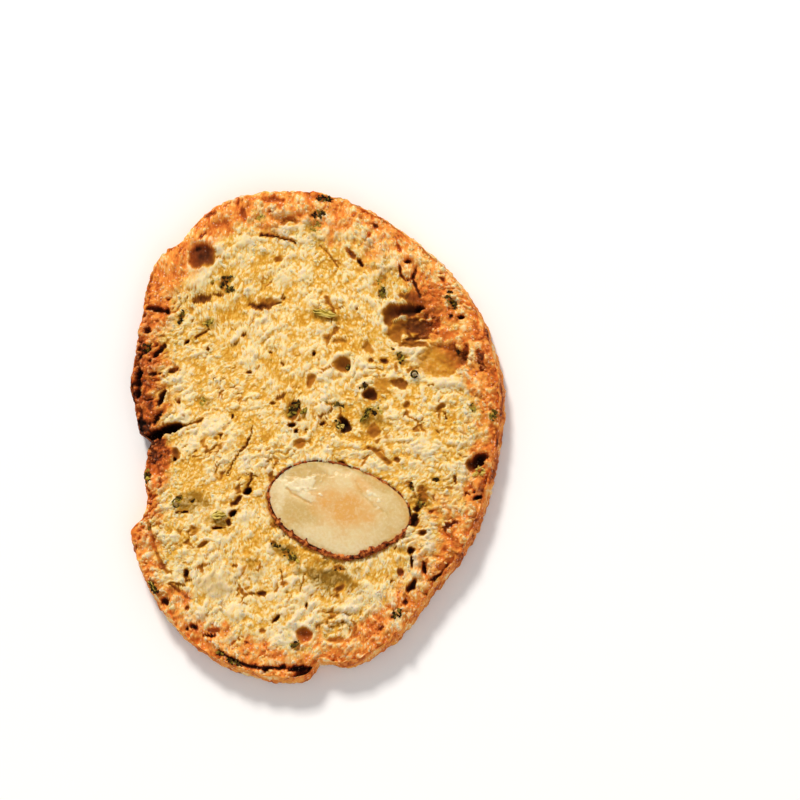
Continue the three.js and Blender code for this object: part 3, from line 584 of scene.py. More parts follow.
def oval_share(x, y, at, half, turn):
    """0 in the middle of an oval, 1 at its edge."""
    dx, dy = x - at[0], y - at[1]
    c, s = math.cos(math.radians(turn)), math.sin(math.radians(turn))
    return math.hypot((dx * c + dy * s) / half[0], (dy * c - dx * s) / half[1])


def oval_box(form):
    """How far an oval form can reach."""
    reach = 1.5 * max(form.half)
    return form.at[0] - reach, form.at[1] - reach, form.at[0] + reach, form.at[1] + reach


def crack_box(crack):
    """How far a crack can reach."""
    xs, ys = zip(crack.start, crack.end)
    return min(xs) - 1, min(ys) - 1, max(xs) + 1, max(ys) + 1


def square_of(x, y):
    """The square of the face that a place lies in."""
    return math.floor(x / SQUARE), math.floor(y / SQUARE)


def by_square(forms, box_of):
    """Sorts forms into squares of the face, so that only the near ones are looked at."""
    squares = {}
    for form in forms:
        low_x, low_y, high_x, high_y = box_of(form)
        first, last = square_of(low_x, low_y), square_of(high_x, high_y)
        for i in range(first[0], last[0] + 1):
            for j in range(first[1], last[1] + 1):
                squares.setdefault((i, j), []).append(form)
    return squares


SQUARE = 3.0  # mm
HOLLOWS_NEAR = by_square(HOLLOWS, oval_box)
SLOPES_NEAR = by_square(SLOPES, oval_box)
SWELLINGS_NEAR = by_square(SWELLINGS, oval_box)
STAINS_NEAR = by_square(STAINS, oval_box)
HERBS_NEAR = by_square(HERBS, oval_box)
CRACKS_NEAR = by_square(CRACKS, crack_box)
RIM_WIDTH = compass_table(RIM_WIDTHS)
RIM_DARK = compass_table(RIM_DARKNESS)
SLICE_CURVE = rounded_curve(SLICE_OUTLINE)
SMOOTH_SPAN, SMOOTH_STEP = 60, 15  # samples on either side that the smoothed rim averages
SMOOTH_CURVE = [
    sum((SLICE_CURVE[(k + j) % len(SLICE_CURVE)]
         for j in range(-SMOOTH_SPAN, SMOOTH_SPAN + 1, SMOOTH_STEP)),
        Vector((0, 0))) / (2 * SMOOTH_SPAN // SMOOTH_STEP + 1)
    for k in range(len(SLICE_CURVE))
]
ALMOND_CURVE = rounded_curve(ALMOND_OUTLINE)


def almond_radius_table(steps=720):
    """How far the almond's outline is from its centre, by direction."""
    table = [0.0] * steps
    for point in ALMOND_CURVE:
        k = int((math.atan2(point.y, point.x) % math.tau) / math.tau * steps) % steps
        table[k] = point.length
    for k in range(steps):
        if table[k] == 0.0:
            table[k] = table[k - 1] or table[(k + 1) % steps]
    return table


ALMOND_RADII = almond_radius_table()


def beyond_almond(x, y, share=1.0):
    """How far a point lies outside the almond's outline in mm, negative inside it."""
    dx, dy = x - ALMOND_CENTRE[0], y - ALMOND_CENTRE[1]
    c, s = math.cos(ALMOND_TURN), math.sin(ALMOND_TURN)
    angle = math.atan2(dy * c - dx * s, dx * c + dy * s) % math.tau
    radius = ALMOND_RADII[int(angle / math.tau * len(ALMOND_RADII)) % len(ALMOND_RADII)]
    return math.hypot(dx, dy) - radius * share


# ------------------------------------------------------------- the crumb's relief

# Each noise is read in a layer of its own: the third coordinate only keeps them apart.

# Places far apart, where the noise is read for each direction of a shift.
SHIFTS = [Vector((37.1, 11.3, 23.7)), Vector((5.3, 71.9, 43.1)), Vector((61.7, 29.9, 13.5))]


def lumps(point, size):
    """Lumps about size mm wide: a rounded height from 0 to 1, a level of its own, and its edge."""
    distances, centres = noise.voronoi(point / size)
    edge = distances[1] - distances[0]
    level = noise.noise(centres[0] * 3.7) * smooth_step(0.0, 0.35, edge)
    return smooth_step(0.0, 0.5, edge), level, edge


def noise_shift(point):
    """A shift in a direction that wanders from place to place, and is the same in every run."""
    return Vector([noise.noise(point + away) for away in SHIFTS])


def cells(point, size):
    """Distance to the nearest of scattered points, as a share of their spacing."""
    return noise.voronoi(point / size)[0][0]


def crumb_relief(x, y, layer):
    """Height of the torn crumb in mm, its paleness with painted light and shade, and how far it is
    cracked open, which is painted dark as shade.
    """
    point = Vector((x, y, layer))
    warp = noise_shift(point / 2.4) * 0.9 + noise_shift(point / 0.8) * 0.4
    spot = point + warp
    turn = math.radians(FLOW_TURN + FLOW_BEND[0] * x + FLOW_BEND[1] * y)
    c, s = math.cos(turn), math.sin(turn)
    along, across = spot.x * c + spot.y * s, spot.y * c - spot.x * s
    # Torn layers lie over each other like shingles, gentle below and steep above.
    row = across / SHINGLE + 1.6 * noise.noise(Vector((along / 4.5, across / 3.0, layer + 7)))
    row += 0.15 * noise.noise(spot / 0.9)
    step = row - math.floor(row)
    torn = smooth_step(-0.1, 0.22, noise.noise(Vector((x / 5.5, y / 5.5, layer + 31))))
    shingle = smooth_step(0.0, 0.8, step) * smooth_step(1.0, 0.84, step)
    flake, flake_level, flake_edge = lumps(Vector((along / 1.8, across, layer)), FLAKE)
    lump, lump_level, _ = lumps(spot, LUMP)
    grain, grain_level, _ = lumps(point + warp * 0.25, GRAIN)
    open_here = smooth_step(0.0, 0.3, noise.noise(Vector((x / 4.1, y / 4.1, layer + 20))))
    crevice = open_here * smooth_step(0.14, 0.03, flake_edge)
    crevice *= smooth_step(-0.05, 0.2, noise.noise(point / 1.3 + Vector((0, 0, 3.3))))
    # Each size of form adds to the height, and the higher a place, the paler it is drawn:
    # painted light on the ridges and painted shade in the valleys, over the crumb's own tone.
    height = 0.52 * flake_level + 0.14 * flake + 0.44 * lump_level + 0.26 * lump
    height += 0.16 * grain_level + 0.13 * grain - 0.3 * crevice - 0.455
    height = height * (0.8 + 0.2 * torn) + 0.34 * torn * shingle
    pale = 0.85 * flake_level + 0.95 * lump_level + 0.85 * lump + 0.75 * grain + 0.7 * grain_level
    pale += 0.75 * torn * (shingle - 0.5) + 0.25 * torn - 0.9
    pale += 0.4 * noise.noise(Vector((x / 2.6, y / 2.6, layer + 50)))
    pale += 0.25 * smooth_step(-15.0, -21.0, y)
    # Round pores sink in and are drawn dark as painted shade.
    pore = cells(point + warp * 0.9, PORE_SPACING) + 0.12 * noise.noise(point / 0.5)
    hole = smooth_step(0.1, 0.04, pore)
    # Torn crumb is also full of small shallow pits, drawn darker as painted shade.
    pit = smooth_step(0.2, 0.08, cells(spot + Vector((0, 0, 5.5)), PIT_SPACING)) * open_here
    return height - 0.7 * hole - 0.3 * pit, pale - pit, max(crevice, 1.2 * hole, 0.62 * pit)


def bubble_mark(hollow, x, y, tear, wobble):
    """An air hole's depth, browning with painted shade, smoothness and raised lip at a place."""
    share = oval_share(x, y, hollow.at, hollow.half, hollow.turn)
    share += hollow.rag * tear + (1 - hollow.rag) * wobble
    lip = 0.0
    if hollow.rag < 0.4:
        lip = (1 - hollow.rag) * smooth_step(1.6, 1.2, share) * smooth_step(0.95, 1.12, share)
    bowl = max(0.0, 1 - max(0.0, share) ** 2.4) ** 0.6
    inside = smooth_step(1.2, 0.8, share)
    # Painted shade: the deeper into the bowl, the darker the hole is drawn.
    toast = hollow.toast * inside * (0.62 + 0.38 * bowl + 0.12 * tear)
    return hollow.deep * bowl, toast, (1 - hollow.rag) * smooth_step(1.0, 0.85, share), lip


def slope_mark(slope, x, y, tear):
    """The same for a flat face that slopes down to one side."""
    share = oval_share(x, y, slope.at, slope.half, slope.turn) + 0.25 * tear
    down = math.radians(slope.down)
    run = (x - slope.at[0]) * math.cos(down) + (y - slope.at[1]) * math.sin(down)
    fall = min(1.0, max(0.0, 0.5 + 0.5 * run / slope.half[0]))
    inside = smooth_step(1.05, 0.85, share)
    deep = inside * (slope.shallow + (slope.deep - slope.shallow) * fall ** 1.5)
    # Painted shade darkens the face towards its deep side.
    return deep, inside * (slope.toast + 0.12 * tear + 0.6 * fall ** 2.5), 0.4 * inside, 0.0


def crack_mark(crack, x, y, tear):
    """The same for a thin crack."""
    start, end = Vector(crack.start), Vector(crack.end)
    point = Vector((x + 0.25 * tear, y - 0.25 * tear))
    run = end - start
    along = min(1.0, max(0.0, (point - start).dot(run) / run.length_squared))
    aside = (point - start - run * along).length / crack.half_width
    # The crack and its edges are painted dark, partly as shade.
    return (crack.deep * smooth_step(1.6, 0.3, aside), crack.toast * smooth_step(2.2, 0.8, aside),
            0.0, 0.0)


def herb_mark(herb, x, y, tear):
    """The same for the shallow bed that a flake of herb lies in, painted darker round the flake as
    shade.
    """
    share = oval_share(x, y, herb.at, herb.half, herb.turn) + 0.8 * tear
    toast = (0.6 - 0.5 * herb.tone) * smooth_step(1.3, 0.6, share)
    return 0.3 * smooth_step(1.1, 0.5, share), toast, 0.0, 0.0


def hollow_at(x, y):
    """Depth, browning with painted shade, smoothness and raised lip of all that is hollow at a
    place.
    """
    square = square_of(x, y)
    hollows, slopes = HOLLOWS_NEAR.get(square, ()), SLOPES_NEAR.get(square, ())
    cracks, herbs = CRACKS_NEAR.get(square, ()), HERBS_NEAR.get(square, ())
    marks = [(0.0, 0.0, 0.0, 0.0)]
    if hollows or slopes or cracks or herbs:
        tear = 0.9 * noise.noise(Vector((x, y, 5.1)))
        tear += 0.6 * noise.noise(Vector((x / 0.45, y / 0.45, 11.3)))
        wobble = 0.32 * noise.noise(Vector((x / 1.3, y / 1.3, 17.9)))
        marks += [bubble_mark(hollow, x, y, tear, wobble) for hollow in hollows]
        marks += [slope_mark(slope, x, y, tear) for slope in slopes]
        marks += [crack_mark(crack, x, y, tear) for crack in cracks]
        marks += [herb_mark(herb, x, y, tear) for herb in herbs]
    return [max(values) for values in zip(*marks)]


def swelling_at(x, y):
    """Height and smoothness of the raised forms at a place."""
    high = calm = 0.0
    for form in SWELLINGS_NEAR.get(square_of(x, y), ()):
        share = oval_share(x, y, form.at, form.half, form.turn)
        share += 0.3 * noise.noise(Vector((x / 0.9, y / 0.9, 2.2)))
        high = max(high, form.high * smooth_step(1.1, 0.5, share))
        calm = max(calm, form.calm * smooth_step(1.1, 0.7, share))
    return high, calm


def stain_at(x, y):
    """How far herb has stained the crumb at a place."""
    strength = 0.0
    for stain in STAINS_NEAR.get(square_of(x, y), ()):
        share = oval_share(x, y, stain.at, stain.half, stain.turn)
        share += 0.7 * noise.noise(Vector((x / 1.1, y / 1.1, 8.8)))
        strength = max(strength, stain.strength * smooth_step(1.25, 0.3, share))
    return strength


def rim_share(x, y, from_rim):
    """1 on the toasted rim and 0 on the golden crumb, with a ragged border."""
    point = Vector((x, y, 4.0))
    ragged = 3.2 * noise.noise(point / 3.2) + 1.8 * noise.noise(point / 1.1)
    width = towards(RIM_WIDTH, x, y)
    return smooth_step(width + 1.2, width * 0.3, from_rim + ragged)


def rim_toast(x, y, from_rim, share):
    """Browning of the rim, from 0 on the crumb to 1 where it is nearly black."""
    point = Vector((x, y, 4.0))
    dark = towards(RIM_DARK, x, y)
    dark += 0.24 * noise.noise(point / 2.3) + 0.2 * noise.noise(point / 0.8)
    dark += 0.08 * smooth_step(1.6, 0.2, from_rim)
    return share * max(0.1, dark)


# A place of the surface: height in mm; its browning, which also carries painted shade in holes,
# cracks, crevices, herb beds and under the almond; how pale it is, which also carries painted light
# and shade; and how herb-stained, smooth and crusty it is. All but the height are stored on the
# vertices for the material.
Spot = namedtuple("Spot", "z toast pale stain calm crust")


def face_spot(x, y, from_rim, relief=1.0):
    """Everything about one place of the cut face: its height in mm and how it is coloured."""
    z = THICKNESS + sum(h * math.sin(wx * x + wy * y + phase) for h, wx, wy, phase in SWELLS)
    height, pale, crevice = crumb_relief(x, y, 0.0)
    deep, toast, smooth, lip = hollow_at(x, y)
    high, calm = swelling_at(x, y)
    calm = max(0.7 * calm, smooth, 0.5 * lip)
    crust = rim_share(x, y, from_rim)
    browned_and_shaded = rim_toast(x, y, from_rim, crust)
    if crust > 0.02:
        # The crust of the rim is broken into larger crags, painted dark between them as shade and
        # less browned on their tops as light.
        point = Vector((x, y, 60.0))
        bump, level, edge = lumps(point + noise_shift(point / 1.5) * 0.5, CRUST_CRAG)
        height *= 1 + 0.5 * crust
        height += crust * (0.14 * bump + 0.5 * level - 0.1)
        browned_and_shaded += crust * (0.16 * smooth_step(0.2, 0.02, edge) - 0.2 * level - 0.12 * pale)
    z += relief * height * (1 - 0.75 * calm) + high + 0.12 * lip - deep
    z -= 0.5 * smooth_step(1.5, 0.0, from_rim) ** 2
    # The crumb rises a little along the almond's upper side, and sinks along its lower side, where
    # it is painted darker as the almond's shadow.
    moat = beyond_almond(x, y)
    if moat < 1.3:
        lower = smooth_step(1.0, -1.5, y - ALMOND_CENTRE[1] + 0.3 * (x - ALMOND_CENTRE[0]))
        z += (0.12 - 0.35 * lower) * smooth_step(1.1, 0.3, moat)
        z -= 0.2 * smooth_step(0.35, 0.0, moat)
        toast = max(toast, 0.3 * lower * smooth_step(0.6, 0.2, moat))
    toast *= 1 - 0.85 * smooth_step(0.5, 0.75, high)
    # Browning here also carries painted shade in the holes, cracks, herb beds and crevices.
    browned_and_shaded = max(browned_and_shaded, toast, 0.55 * crevice)
    # Smooth raised forms and the lips of holes are drawn paler as painted light; smooth bubble
    # walls are darker, partly their own colour and partly painted shade.
    pale = pale * (1 - 0.7 * calm) + 0.6 * max(0.0, calm - smooth) - 0.5 * smooth + 0.4 * lip
    stain = stain_at(x, y)
    return Spot(z, browned_and_shaded, pale - 0.7 * stain, stain, calm, crust)


def back_spot(x, y, from_rim):
    """The same for the back face, whose height is counted up from the plate."""
    height, pale, crevice = crumb_relief(x, y, 40.0)
    z = max(0.0, 0.15 - 0.5 * height)
    hole = smooth_step(0.16, 0.07, cells(Vector((x, y, 90.0)), BACK_HOLE_SPACING))
    z += 1.1 * hole + 0.35 * smooth_step(1.4, 0.0, from_rim) ** 2
    crust = rim_share(x, y, from_rim)
    # Holes and crevices of the back face are painted brown as shade.
    browned_and_shaded = max(rim_toast(x, y, from_rim, crust), 0.6 * hole, 0.5 * crevice, 0.08)
    return Spot(z, browned_and_shaded, pale, 0, 0, crust)


def wall_inset(share):
    """How far the wall lies inside the outline at a share of its height."""
    for (upper, first), (lower, second) in zip(SLICE_WALL, SLICE_WALL[1:]):
        if share >= lower:
            return second + (first - second) * (share - lower) / (upper - lower)
    return SLICE_WALL[-1][1]


def rim_point(round_share, height_share):
    """A point of the wall in plan, in mm."""
    point = sample(SLICE_CURVE, round_share)
    facing = math.cos(math.atan2(point.y, point.x) - LEAN_TOWARDS)
    lean = min(1.0, LEAN_MEAN * (1 + facing))
    spot = Vector((point.x, point.y, height_share * 6))
    bump, level, _ = lumps(spot, WALL_CRAG)
    crag = 0.3 * noise.noise(spot / 1.7) + 0.16 * noise.noise(spot / 0.7)
    crag += 0.14 * (bump - 0.6) + 0.2 * level
    reach = point.length
    return point * ((reach - wall_inset(height_share) * lean + crag) / reach)


def on_face(u, v, height_share):
    """Maps a point of the square grid onto a face: plan position in mm, and distance to the rim."""
    round_share, out = square_to_round(u, v)
    edge = rim_point(round_share, height_share)
    core = sample(SMOOTH_CURVE, round_share)
    place = core.lerp(edge, out ** 8) * out
    return place, (1 - out) * edge.length


# --------------------------------------------------------------------- materials


def linear(hex_colour):
    """An sRGB hex colour as linear red, green, blue and alpha."""
    parts = [int(hex_colour[k:k + 2], 16) / 255 for k in (0, 2, 4)]
    light = [p / 12.92 if p <= 0.04045 else ((p + 0.055) / 1.055) ** 2.4 for p in parts]
    return (*light, 1.0)


GRAINY = {"Detail": 3.0, "Roughness": 0.6}  # noise with fine detail
SHARE, FIRST, SECOND = 0, 6, 7  # inputs of a Mix node that mixes colours


def add_node(tree, kind, sockets=(), stops=(), **settings):
    """Adds a node with its settings, its ramp's colour stops, and its inputs set or linked.

    Inputs are given in order, or by name or number; a node stands for its first output in use.
    """
    made = tree.nodes.new(kind)
    for name, value in settings.items():
        setattr(made, name, value)
    for name, value in sockets.items() if isinstance(sockets, dict) else enumerate(sockets):
        if isinstance(value, bpy.types.Node):
            value = next(output for output in value.outputs if output.enabled)
        if isinstance(value, bpy.types.NodeSocket):
            tree.links.new(value, made.inputs[name])
        else:
            made.inputs[name].default_value = value
    if stops:
        elements = made.color_ramp.elements
        while len(elements) < len(stops):
            elements.new(0.5)
        for element, (position, colour) in zip(elements, stops):
            element.position, element.color = position, linear(colour)
    return made


def new_material(name):
    """A material, its empty tree, and object coordinates in mm."""
    material = bpy.data.materials.new(name)
    material.use_nodes = True
    tree = material.node_tree
    tree.nodes.clear()
    metres = add_node(tree, "ShaderNodeTexCoord").outputs["Object"]
    place = add_node(tree, "ShaderNodeVectorMath", {0: metres, "Scale": 1 / MM}, operation="SCALE")
    return material, tree, place


def crumbly(tree, place, size, shift):
    """Grains about size mm wide: distance from a grain's middle, and a number for each grain."""
    warp = add_node(tree, "ShaderNodeTexNoise",
                    {"Vector": place, "Scale": 1 / shift, "Detail": 1.0})
    moved = add_node(tree, "ShaderNodeVectorMath", (warp.outputs["Color"], (shift,) * 3, place),
                     operation="MULTIPLY_ADD")
    grains = add_node(tree, "ShaderNodeTexVoronoi", {"Vector": moved, "Scale": 1 / size})
    number = add_node(tree, "ShaderNodeSeparateColor", (grains.outputs["Color"],))
    return grains.outputs["Distance"], number


def crumb_colour(tree, level, stain, settings):
    """Crumb from gold in the valleys to cream on the ridges, own tone with painted shade and light,
    and olive where herb stained it.
    """
    along = add_node(tree, "ShaderNodeMapRange", (level, -1.5, 1.5))
    crumb = add_node(tree, "ShaderNodeValToRGB", (along,), [
        (0.0, "cf8e20"), (0.22, settings.deep_colour), (0.48, settings.crumb_colour),
        (0.76, settings.pale_colour), (1.0, "ecdab8")])
    along = add_node(tree, "ShaderNodeMapRange", (level, -1.0, 1.0))
    olive = add_node(tree, "ShaderNodeMix", {
        SHARE: along, FIRST: linear("7a5412"), SECOND: linear("bd8c1e")}, data_type="RGBA")
    share = add_node(tree, "ShaderNodeMapRange", (stain, 0.0, 1.0, 0.0, 0.85))
    return add_node(tree, "ShaderNodeMix", {SHARE: share, FIRST: crumb, SECOND: olive},
                    data_type="RGBA")


def baked_colour(tree, toast, level, crust):
    """What browning and its painted shade do: the rim turns orange and then dark, and smooth
    hollows amber.
    """
    browned_and_shaded = add_node(tree, "ShaderNodeValToRGB", (toast,), [
        (0.0, "f6d084"), (0.2, "f7b45e"), (0.38, "ef9740"), (0.56, "d66f28"),
        (0.72, "9f4818"), (0.86, "56240e"), (1.0, "1f0d06")])
    # Painted light: raised, pale crust is drawn lighter.
    share = add_node(tree, "ShaderNodeMapRange", (level, 0.1, 1.5, 0.0, 0.4))
    lighter = add_node(tree, "ShaderNodeMix", {
        SHARE: share, FIRST: browned_and_shaded, SECOND: linear("fac88c")}, data_type="RGBA")
    share = add_node(tree, "ShaderNodeMapRange", (toast, 0.6, 0.8))
    baked = add_node(tree, "ShaderNodeMix", {SHARE: share, FIRST: lighter, SECOND: browned_and_shaded},
                     data_type="RGBA")
    amber = add_node(tree, "ShaderNodeValToRGB", (toast,), [
        (0.0, "e6b248"), (0.3, "d0902a"), (0.52, "a8661c"), (0.76, "66320f"), (1.0, "221006")])
    return add_node(tree, "ShaderNodeMix", {SHARE: crust, FIRST: amber, SECOND: baked},
                    data_type="RGBA")


def specks_and_painted_glints(tree, place, crust):
    """Small specks on the toasted rim that are drawn with a painted pale highlight: 1 on a speck, 0
    beside it.
    """
    dot, drawn = crumbly(tree, place, SPECK, 0.2)
    dot = add_node(tree, "ShaderNodeMapRange", (dot, 0.34, 0.2))
    drawn = add_node(tree, "ShaderNodeMapRange", (drawn, 0.6, 0.7))
    dot = add_node(tree, "ShaderNodeMath", (dot, drawn), operation="MULTIPLY")
    return add_node(tree, "ShaderNodeMath", (dot, crust), operation="MULTIPLY")


def baked_crumb_material(settings):
    """Twice-baked wheat crumb: dry and matt, golden, paler on torn ridges, turned brown by the
    oven, with painted light and shade.
    """
    material, tree, place = new_material("twice_baked_crumb")
    toast, pale, stain, calm, crust = (
        add_node(tree, "ShaderNodeAttribute", attribute_name=name).outputs["Fac"]
        for name in Spot._fields[1:])
    apart, number = crumbly(tree, place, CRUMB_GRAIN, 0.35)
    fine = add_node(tree, "ShaderNodeTexNoise",
                    {"Vector": place, "Scale": 1 / CRUMB_GRIT, **GRAINY})
    broad = add_node(tree, "ShaderNodeTexNoise",
                     {"Vector": place, "Scale": 1 / CRUMB_MOTTLE, "Detail": 2.0, "Roughness": 0.6})
    rough = add_node(tree, "ShaderNodeMapRange", (calm, 0.0, 1.0, 1.0, 0.25))
    # Grains are painted lighter in the middle and darker in the gaps, as light and shade; each has
    # a tone of its own, and all are finely flecked.
    grain_light_and_shade = add_node(tree, "ShaderNodeMapRange", (apart, 0.15, 0.6, 0.28, -0.35))
    flecks = add_node(tree, "ShaderNodeMapRange", (fine, 0.25, 0.75, -0.18, 0.18))
    shades = add_node(tree, "ShaderNodeMapRange", (number, 0.0, 1.0, -0.18, 0.18))
    fleck = add_node(tree, "ShaderNodeMath", (grain_light_and_shade, flecks), operation="ADD")
    fleck = add_node(tree, "ShaderNodeMath", (fleck, shades), operation="ADD")
    held = add_node(tree, "ShaderNodeMath", (fleck, rough), operation="MULTIPLY")
    level = add_node(tree, "ShaderNodeMath", (pale, held), operation="ADD")
    drift = add_node(tree, "ShaderNodeMapRange", (broad, 0.3, 0.7, -0.3, 0.3))
    level = add_node(tree, "ShaderNodeMath", (level, drift), operation="ADD")
    crumb = crumb_colour(tree, level, stain, settings)
    # Browning is flecked too, the other way round: what is light is less browned.
    specks = add_node(tree, "ShaderNodeMapRange", (fleck, -1.0, 1.0, 0.1, -0.1))
    specks = add_node(tree, "ShaderNodeMath", (specks, rough), operation="MULTIPLY")
    toast = add_node(tree, "ShaderNodeMath", (toast, specks), operation="ADD")
    baked = baked_colour(tree, toast, level, crust)
    share = add_node(tree, "ShaderNodeMapRange", (toast, 0.04, 0.34))
    colour = add_node(tree, "ShaderNodeMix", {SHARE: share, FIRST: crumb, SECOND: baked},
                      data_type="RGBA")
    # The specks are less rough, and get a painted pale highlight, less so where the rim is dark.
    glint = specks_and_painted_glints(tree, place, crust)
    roughness = add_node(tree, "ShaderNodeMapRange", (glint, 0.0, 1.0, 0.85, 0.35))
    share = add_node(tree, "ShaderNodeMapRange", (toast, 0.3, 0.8, 0.75, 0.15))
    glint = add_node(tree, "ShaderNodeMath", (glint, share), operation="MULTIPLY")
    colour = add_node(tree, "ShaderNodeMix", {
        SHARE: glint, FIRST: colour, SECOND: linear("ffe6c8")}, data_type="RGBA")
    # Fine relief in mm, which the mesh is too coarse for.
    gaps = add_node(tree, "ShaderNodeMath", (apart, -0.03), operation="MULTIPLY")
    grit = add_node(tree, "ShaderNodeMath", (fine, 0.03), operation="MULTIPLY")
    height = add_node(tree, "ShaderNodeMath", (gaps, grit), operation="ADD")
    height = add_node(tree, "ShaderNodeMath", (height, rough), operation="MULTIPLY")
    bump = add_node(tree, "ShaderNodeBump", {"Height": height, "Strength": 1.0, "Distance": MM})
    shader = add_node(tree, "ShaderNodeBsdfPrincipled", {
        "Base Color": colour, "Roughness": roughness, "Normal": bump, "IOR": 1.45,
        "Specular IOR Level": 0.15, "Subsurface Weight": 0.6,
        "Subsurface Radius": (1.0, 0.68, 0.36), "Subsurface Scale": 0.7 * MM})
    add_node(tree, "ShaderNodeOutputMaterial", {"Surface": shader})
    return material


def herb_material():
    """Dried herb leaf: crumpled and matt, from black-brown through olive to yellow."""
    material, tree, place = new_material("dried_herb_leaf")
    tone = add_node(tree, "ShaderNodeAttribute", attribute_name="tone").outputs["Fac"]
    mottle = add_node(tree, "ShaderNodeTexNoise",
                      {"Vector": place, "Scale": 1 / LEAF_MOTTLE, **GRAINY})
    mottle = add_node(tree, "ShaderNodeMapRange", (mottle, 0.25, 0.75, -0.2, 0.2))
    tone = add_node(tree, "ShaderNodeMath", (tone, mottle), operation="ADD")
    colour = add_node(tree, "ShaderNodeValToRGB", (tone,), [
        (0.0, "2a1b09"), (0.22, "4a3813"), (0.45, "7c6a22"), (0.7, "bda038"), (0.95, "dcc468")])
    creases = add_node(tree, "ShaderNodeTexNoise",
                       {"Vector": place, "Scale": 1 / LEAF_CREASE, **GRAINY})
    bump = add_node(tree, "ShaderNodeBump",
                    {"Height": creases, "Strength": 0.7, "Distance": 0.1 * MM})
    shader = add_node(tree, "ShaderNodeBsdfPrincipled", {
        "Base Color": colour, "Roughness": 0.85, "Specular IOR Level": 0.1, "Normal": bump})
    add_node(tree, "ShaderNodeOutputMaterial", {"Surface": shader})
    return material


def kernel_material(settings):
    """Cut almond flesh: fine and waxy, cream at the edge and amber in the roasted middle."""
    material, tree, place = new_material("cut_almond_flesh")
    amber, golden, pale = (
        add_node(tree, "ShaderNodeAttribute", attribute_name=name).outputs["Fac"]
        for name in ("amber", "golden", "pale"))
    broad = add_node(tree, "ShaderNodeTexNoise",
                     {"Vector": place, "Scale": 1 / FLESH_CLOUD, **GRAINY})
    broad = add_node(tree, "ShaderNodeMapRange", (broad, 0.3, 0.7, -0.3, 0.3))
    fine = add_node(tree, "ShaderNodeTexNoise",
                    {"Vector": place, "Scale": 1 / FLESH_GRAIN, "Detail": 4.0, "Roughness": 0.6})
    amber = add_node(tree, "ShaderNodeMath", (amber, broad), operation="ADD")
    amber = add_node(tree, "ShaderNodeMapRange", (amber, 0.05, 0.9))
    golden = add_node(tree, "ShaderNodeMath", (golden, broad), operation="ADD")
    golden = add_node(tree, "ShaderNodeMapRange", (golden, 0.1, 0.9))
    chalky = add_node(tree, "ShaderNodeMapRange", (fine, 0.35, 0.75, -0.2, 0.45))
    pale = add_node(tree, "ShaderNodeMath", (pale, chalky), operation="ADD")
    pale = add_node(tree, "ShaderNodeMapRange", (pale, 0.0, 1.0, 0.0, 0.9))
    colour = linear(settings.cream)
    for share, shade in ((golden, "d0ac64"), (amber, settings.amber), (pale, "f0e2ba")):
        colour = add_node(tree, "ShaderNodeMix", {
            SHARE: share, FIRST: colour, SECOND: linear(shade)}, data_type="RGBA")
    bump = add_node(tree, "ShaderNodeBump",
                    {"Height": fine, "Strength": 0.2, "Distance": 0.1 * MM})
    shader = add_node(tree, "ShaderNodeBsdfPrincipled", {
        "Base Color": colour, "Roughness": 0.38, "IOR": 1.47, "Subsurface Weight": 0.35,
        "Subsurface Radius": (1.0, 0.65, 0.35), "Subsurface Scale": 1.6 * MM, "Normal": bump})
    add_node(tree, "ShaderNodeOutputMaterial", {"Surface": shader})
    return material


def skin_material(settings):
    """Roasted almond skin: thin, dry and papery, red-brown, with darker creases as painted shade.
    """
    material, tree, place = new_material("roasted_almond_skin")
    fine = add_node(tree, "ShaderNodeTexNoise",
                    {"Vector": place, "Scale": 1 / SKIN_WRINKLE, "Detail": 4.0, "Roughness": 0.6})
    wear_and_crease_shade = add_node(tree, "ShaderNodeTexNoise",
                    {"Vector": place, "Scale": 1 / SKIN_WEAR, **GRAINY})
    wear_and_crease_shade = add_node(tree, "ShaderNodeMapRange", (wear_and_crease_shade, 0.35, 0.65, -0.12, 0.12))
    # The wrinkles that the bump draws are painted too: darker in the creases as shade, lighter on
    # top as highlight.
    wear_and_crease_shade = add_node(tree, "ShaderNodeMath", (wear_and_crease_shade, fine), operation="ADD")
    colour = add_node(tree, "ShaderNodeValToRGB", (wear_and_crease_shade,), [
        (0.36, "2e1006"), (0.5, settings.skin_colour), (0.66, "d67e38")])
    bump = add_node(tree, "ShaderNodeBump",
                    {"Height": fine, "Strength": 0.7, "Distance": 0.15 * MM})
    shader = add_node(tree, "ShaderNodeBsdfPrincipled", {
        "Base Color": colour, "Roughness": 0.75, "Specular IOR Level": 0.12, "Normal": bump})
    add_node(tree, "ShaderNodeOutputMaterial", {"Surface": shader})
    return material


def floor_material():
    """White studio card, matt and faintly cloudy."""
    material, tree, place = new_material("matt_white_card")
    cloudy = add_node(tree, "ShaderNodeTexNoise",
                      {"Vector": place, "Scale": 1 / CARD_CLOUD, **GRAINY})
    colour = add_node(tree, "ShaderNodeMix", {
        SHARE: cloudy, FIRST: linear("fbfbfa"), SECOND: linear("fefefe")}, data_type="RGBA")
    shader = add_node(tree, "ShaderNodeBsdfPrincipled", {"Base Color": colour, "Roughness": 0.9})
    add_node(tree, "ShaderNodeOutputMaterial", {"Surface": shader})
    return material


def finish_piece(name, bm, material, node=None, smooth=True):
    """Makes an object of a bmesh in mm, attaches it to the root, and hides the CAD part it stands
    for.
    """
    bmesh.ops.transform(bm, matrix=Matrix.Scale(MM, 4), verts=bm.verts)
    mesh = bpy.data.meshes.new(name)
    bm.to_mesh(mesh)
    bm.free()
    for polygon in mesh.polygons:
        polygon.use_smooth = smooth
    mesh.materials.append(material)
    piece = bpy.data.objects.new(name, mesh)
    bpy.context.scene.collection.objects.link(piece)
    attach(piece, "root")
    if node:
        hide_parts(node)


# ------------------------------------------------------------------- the slice


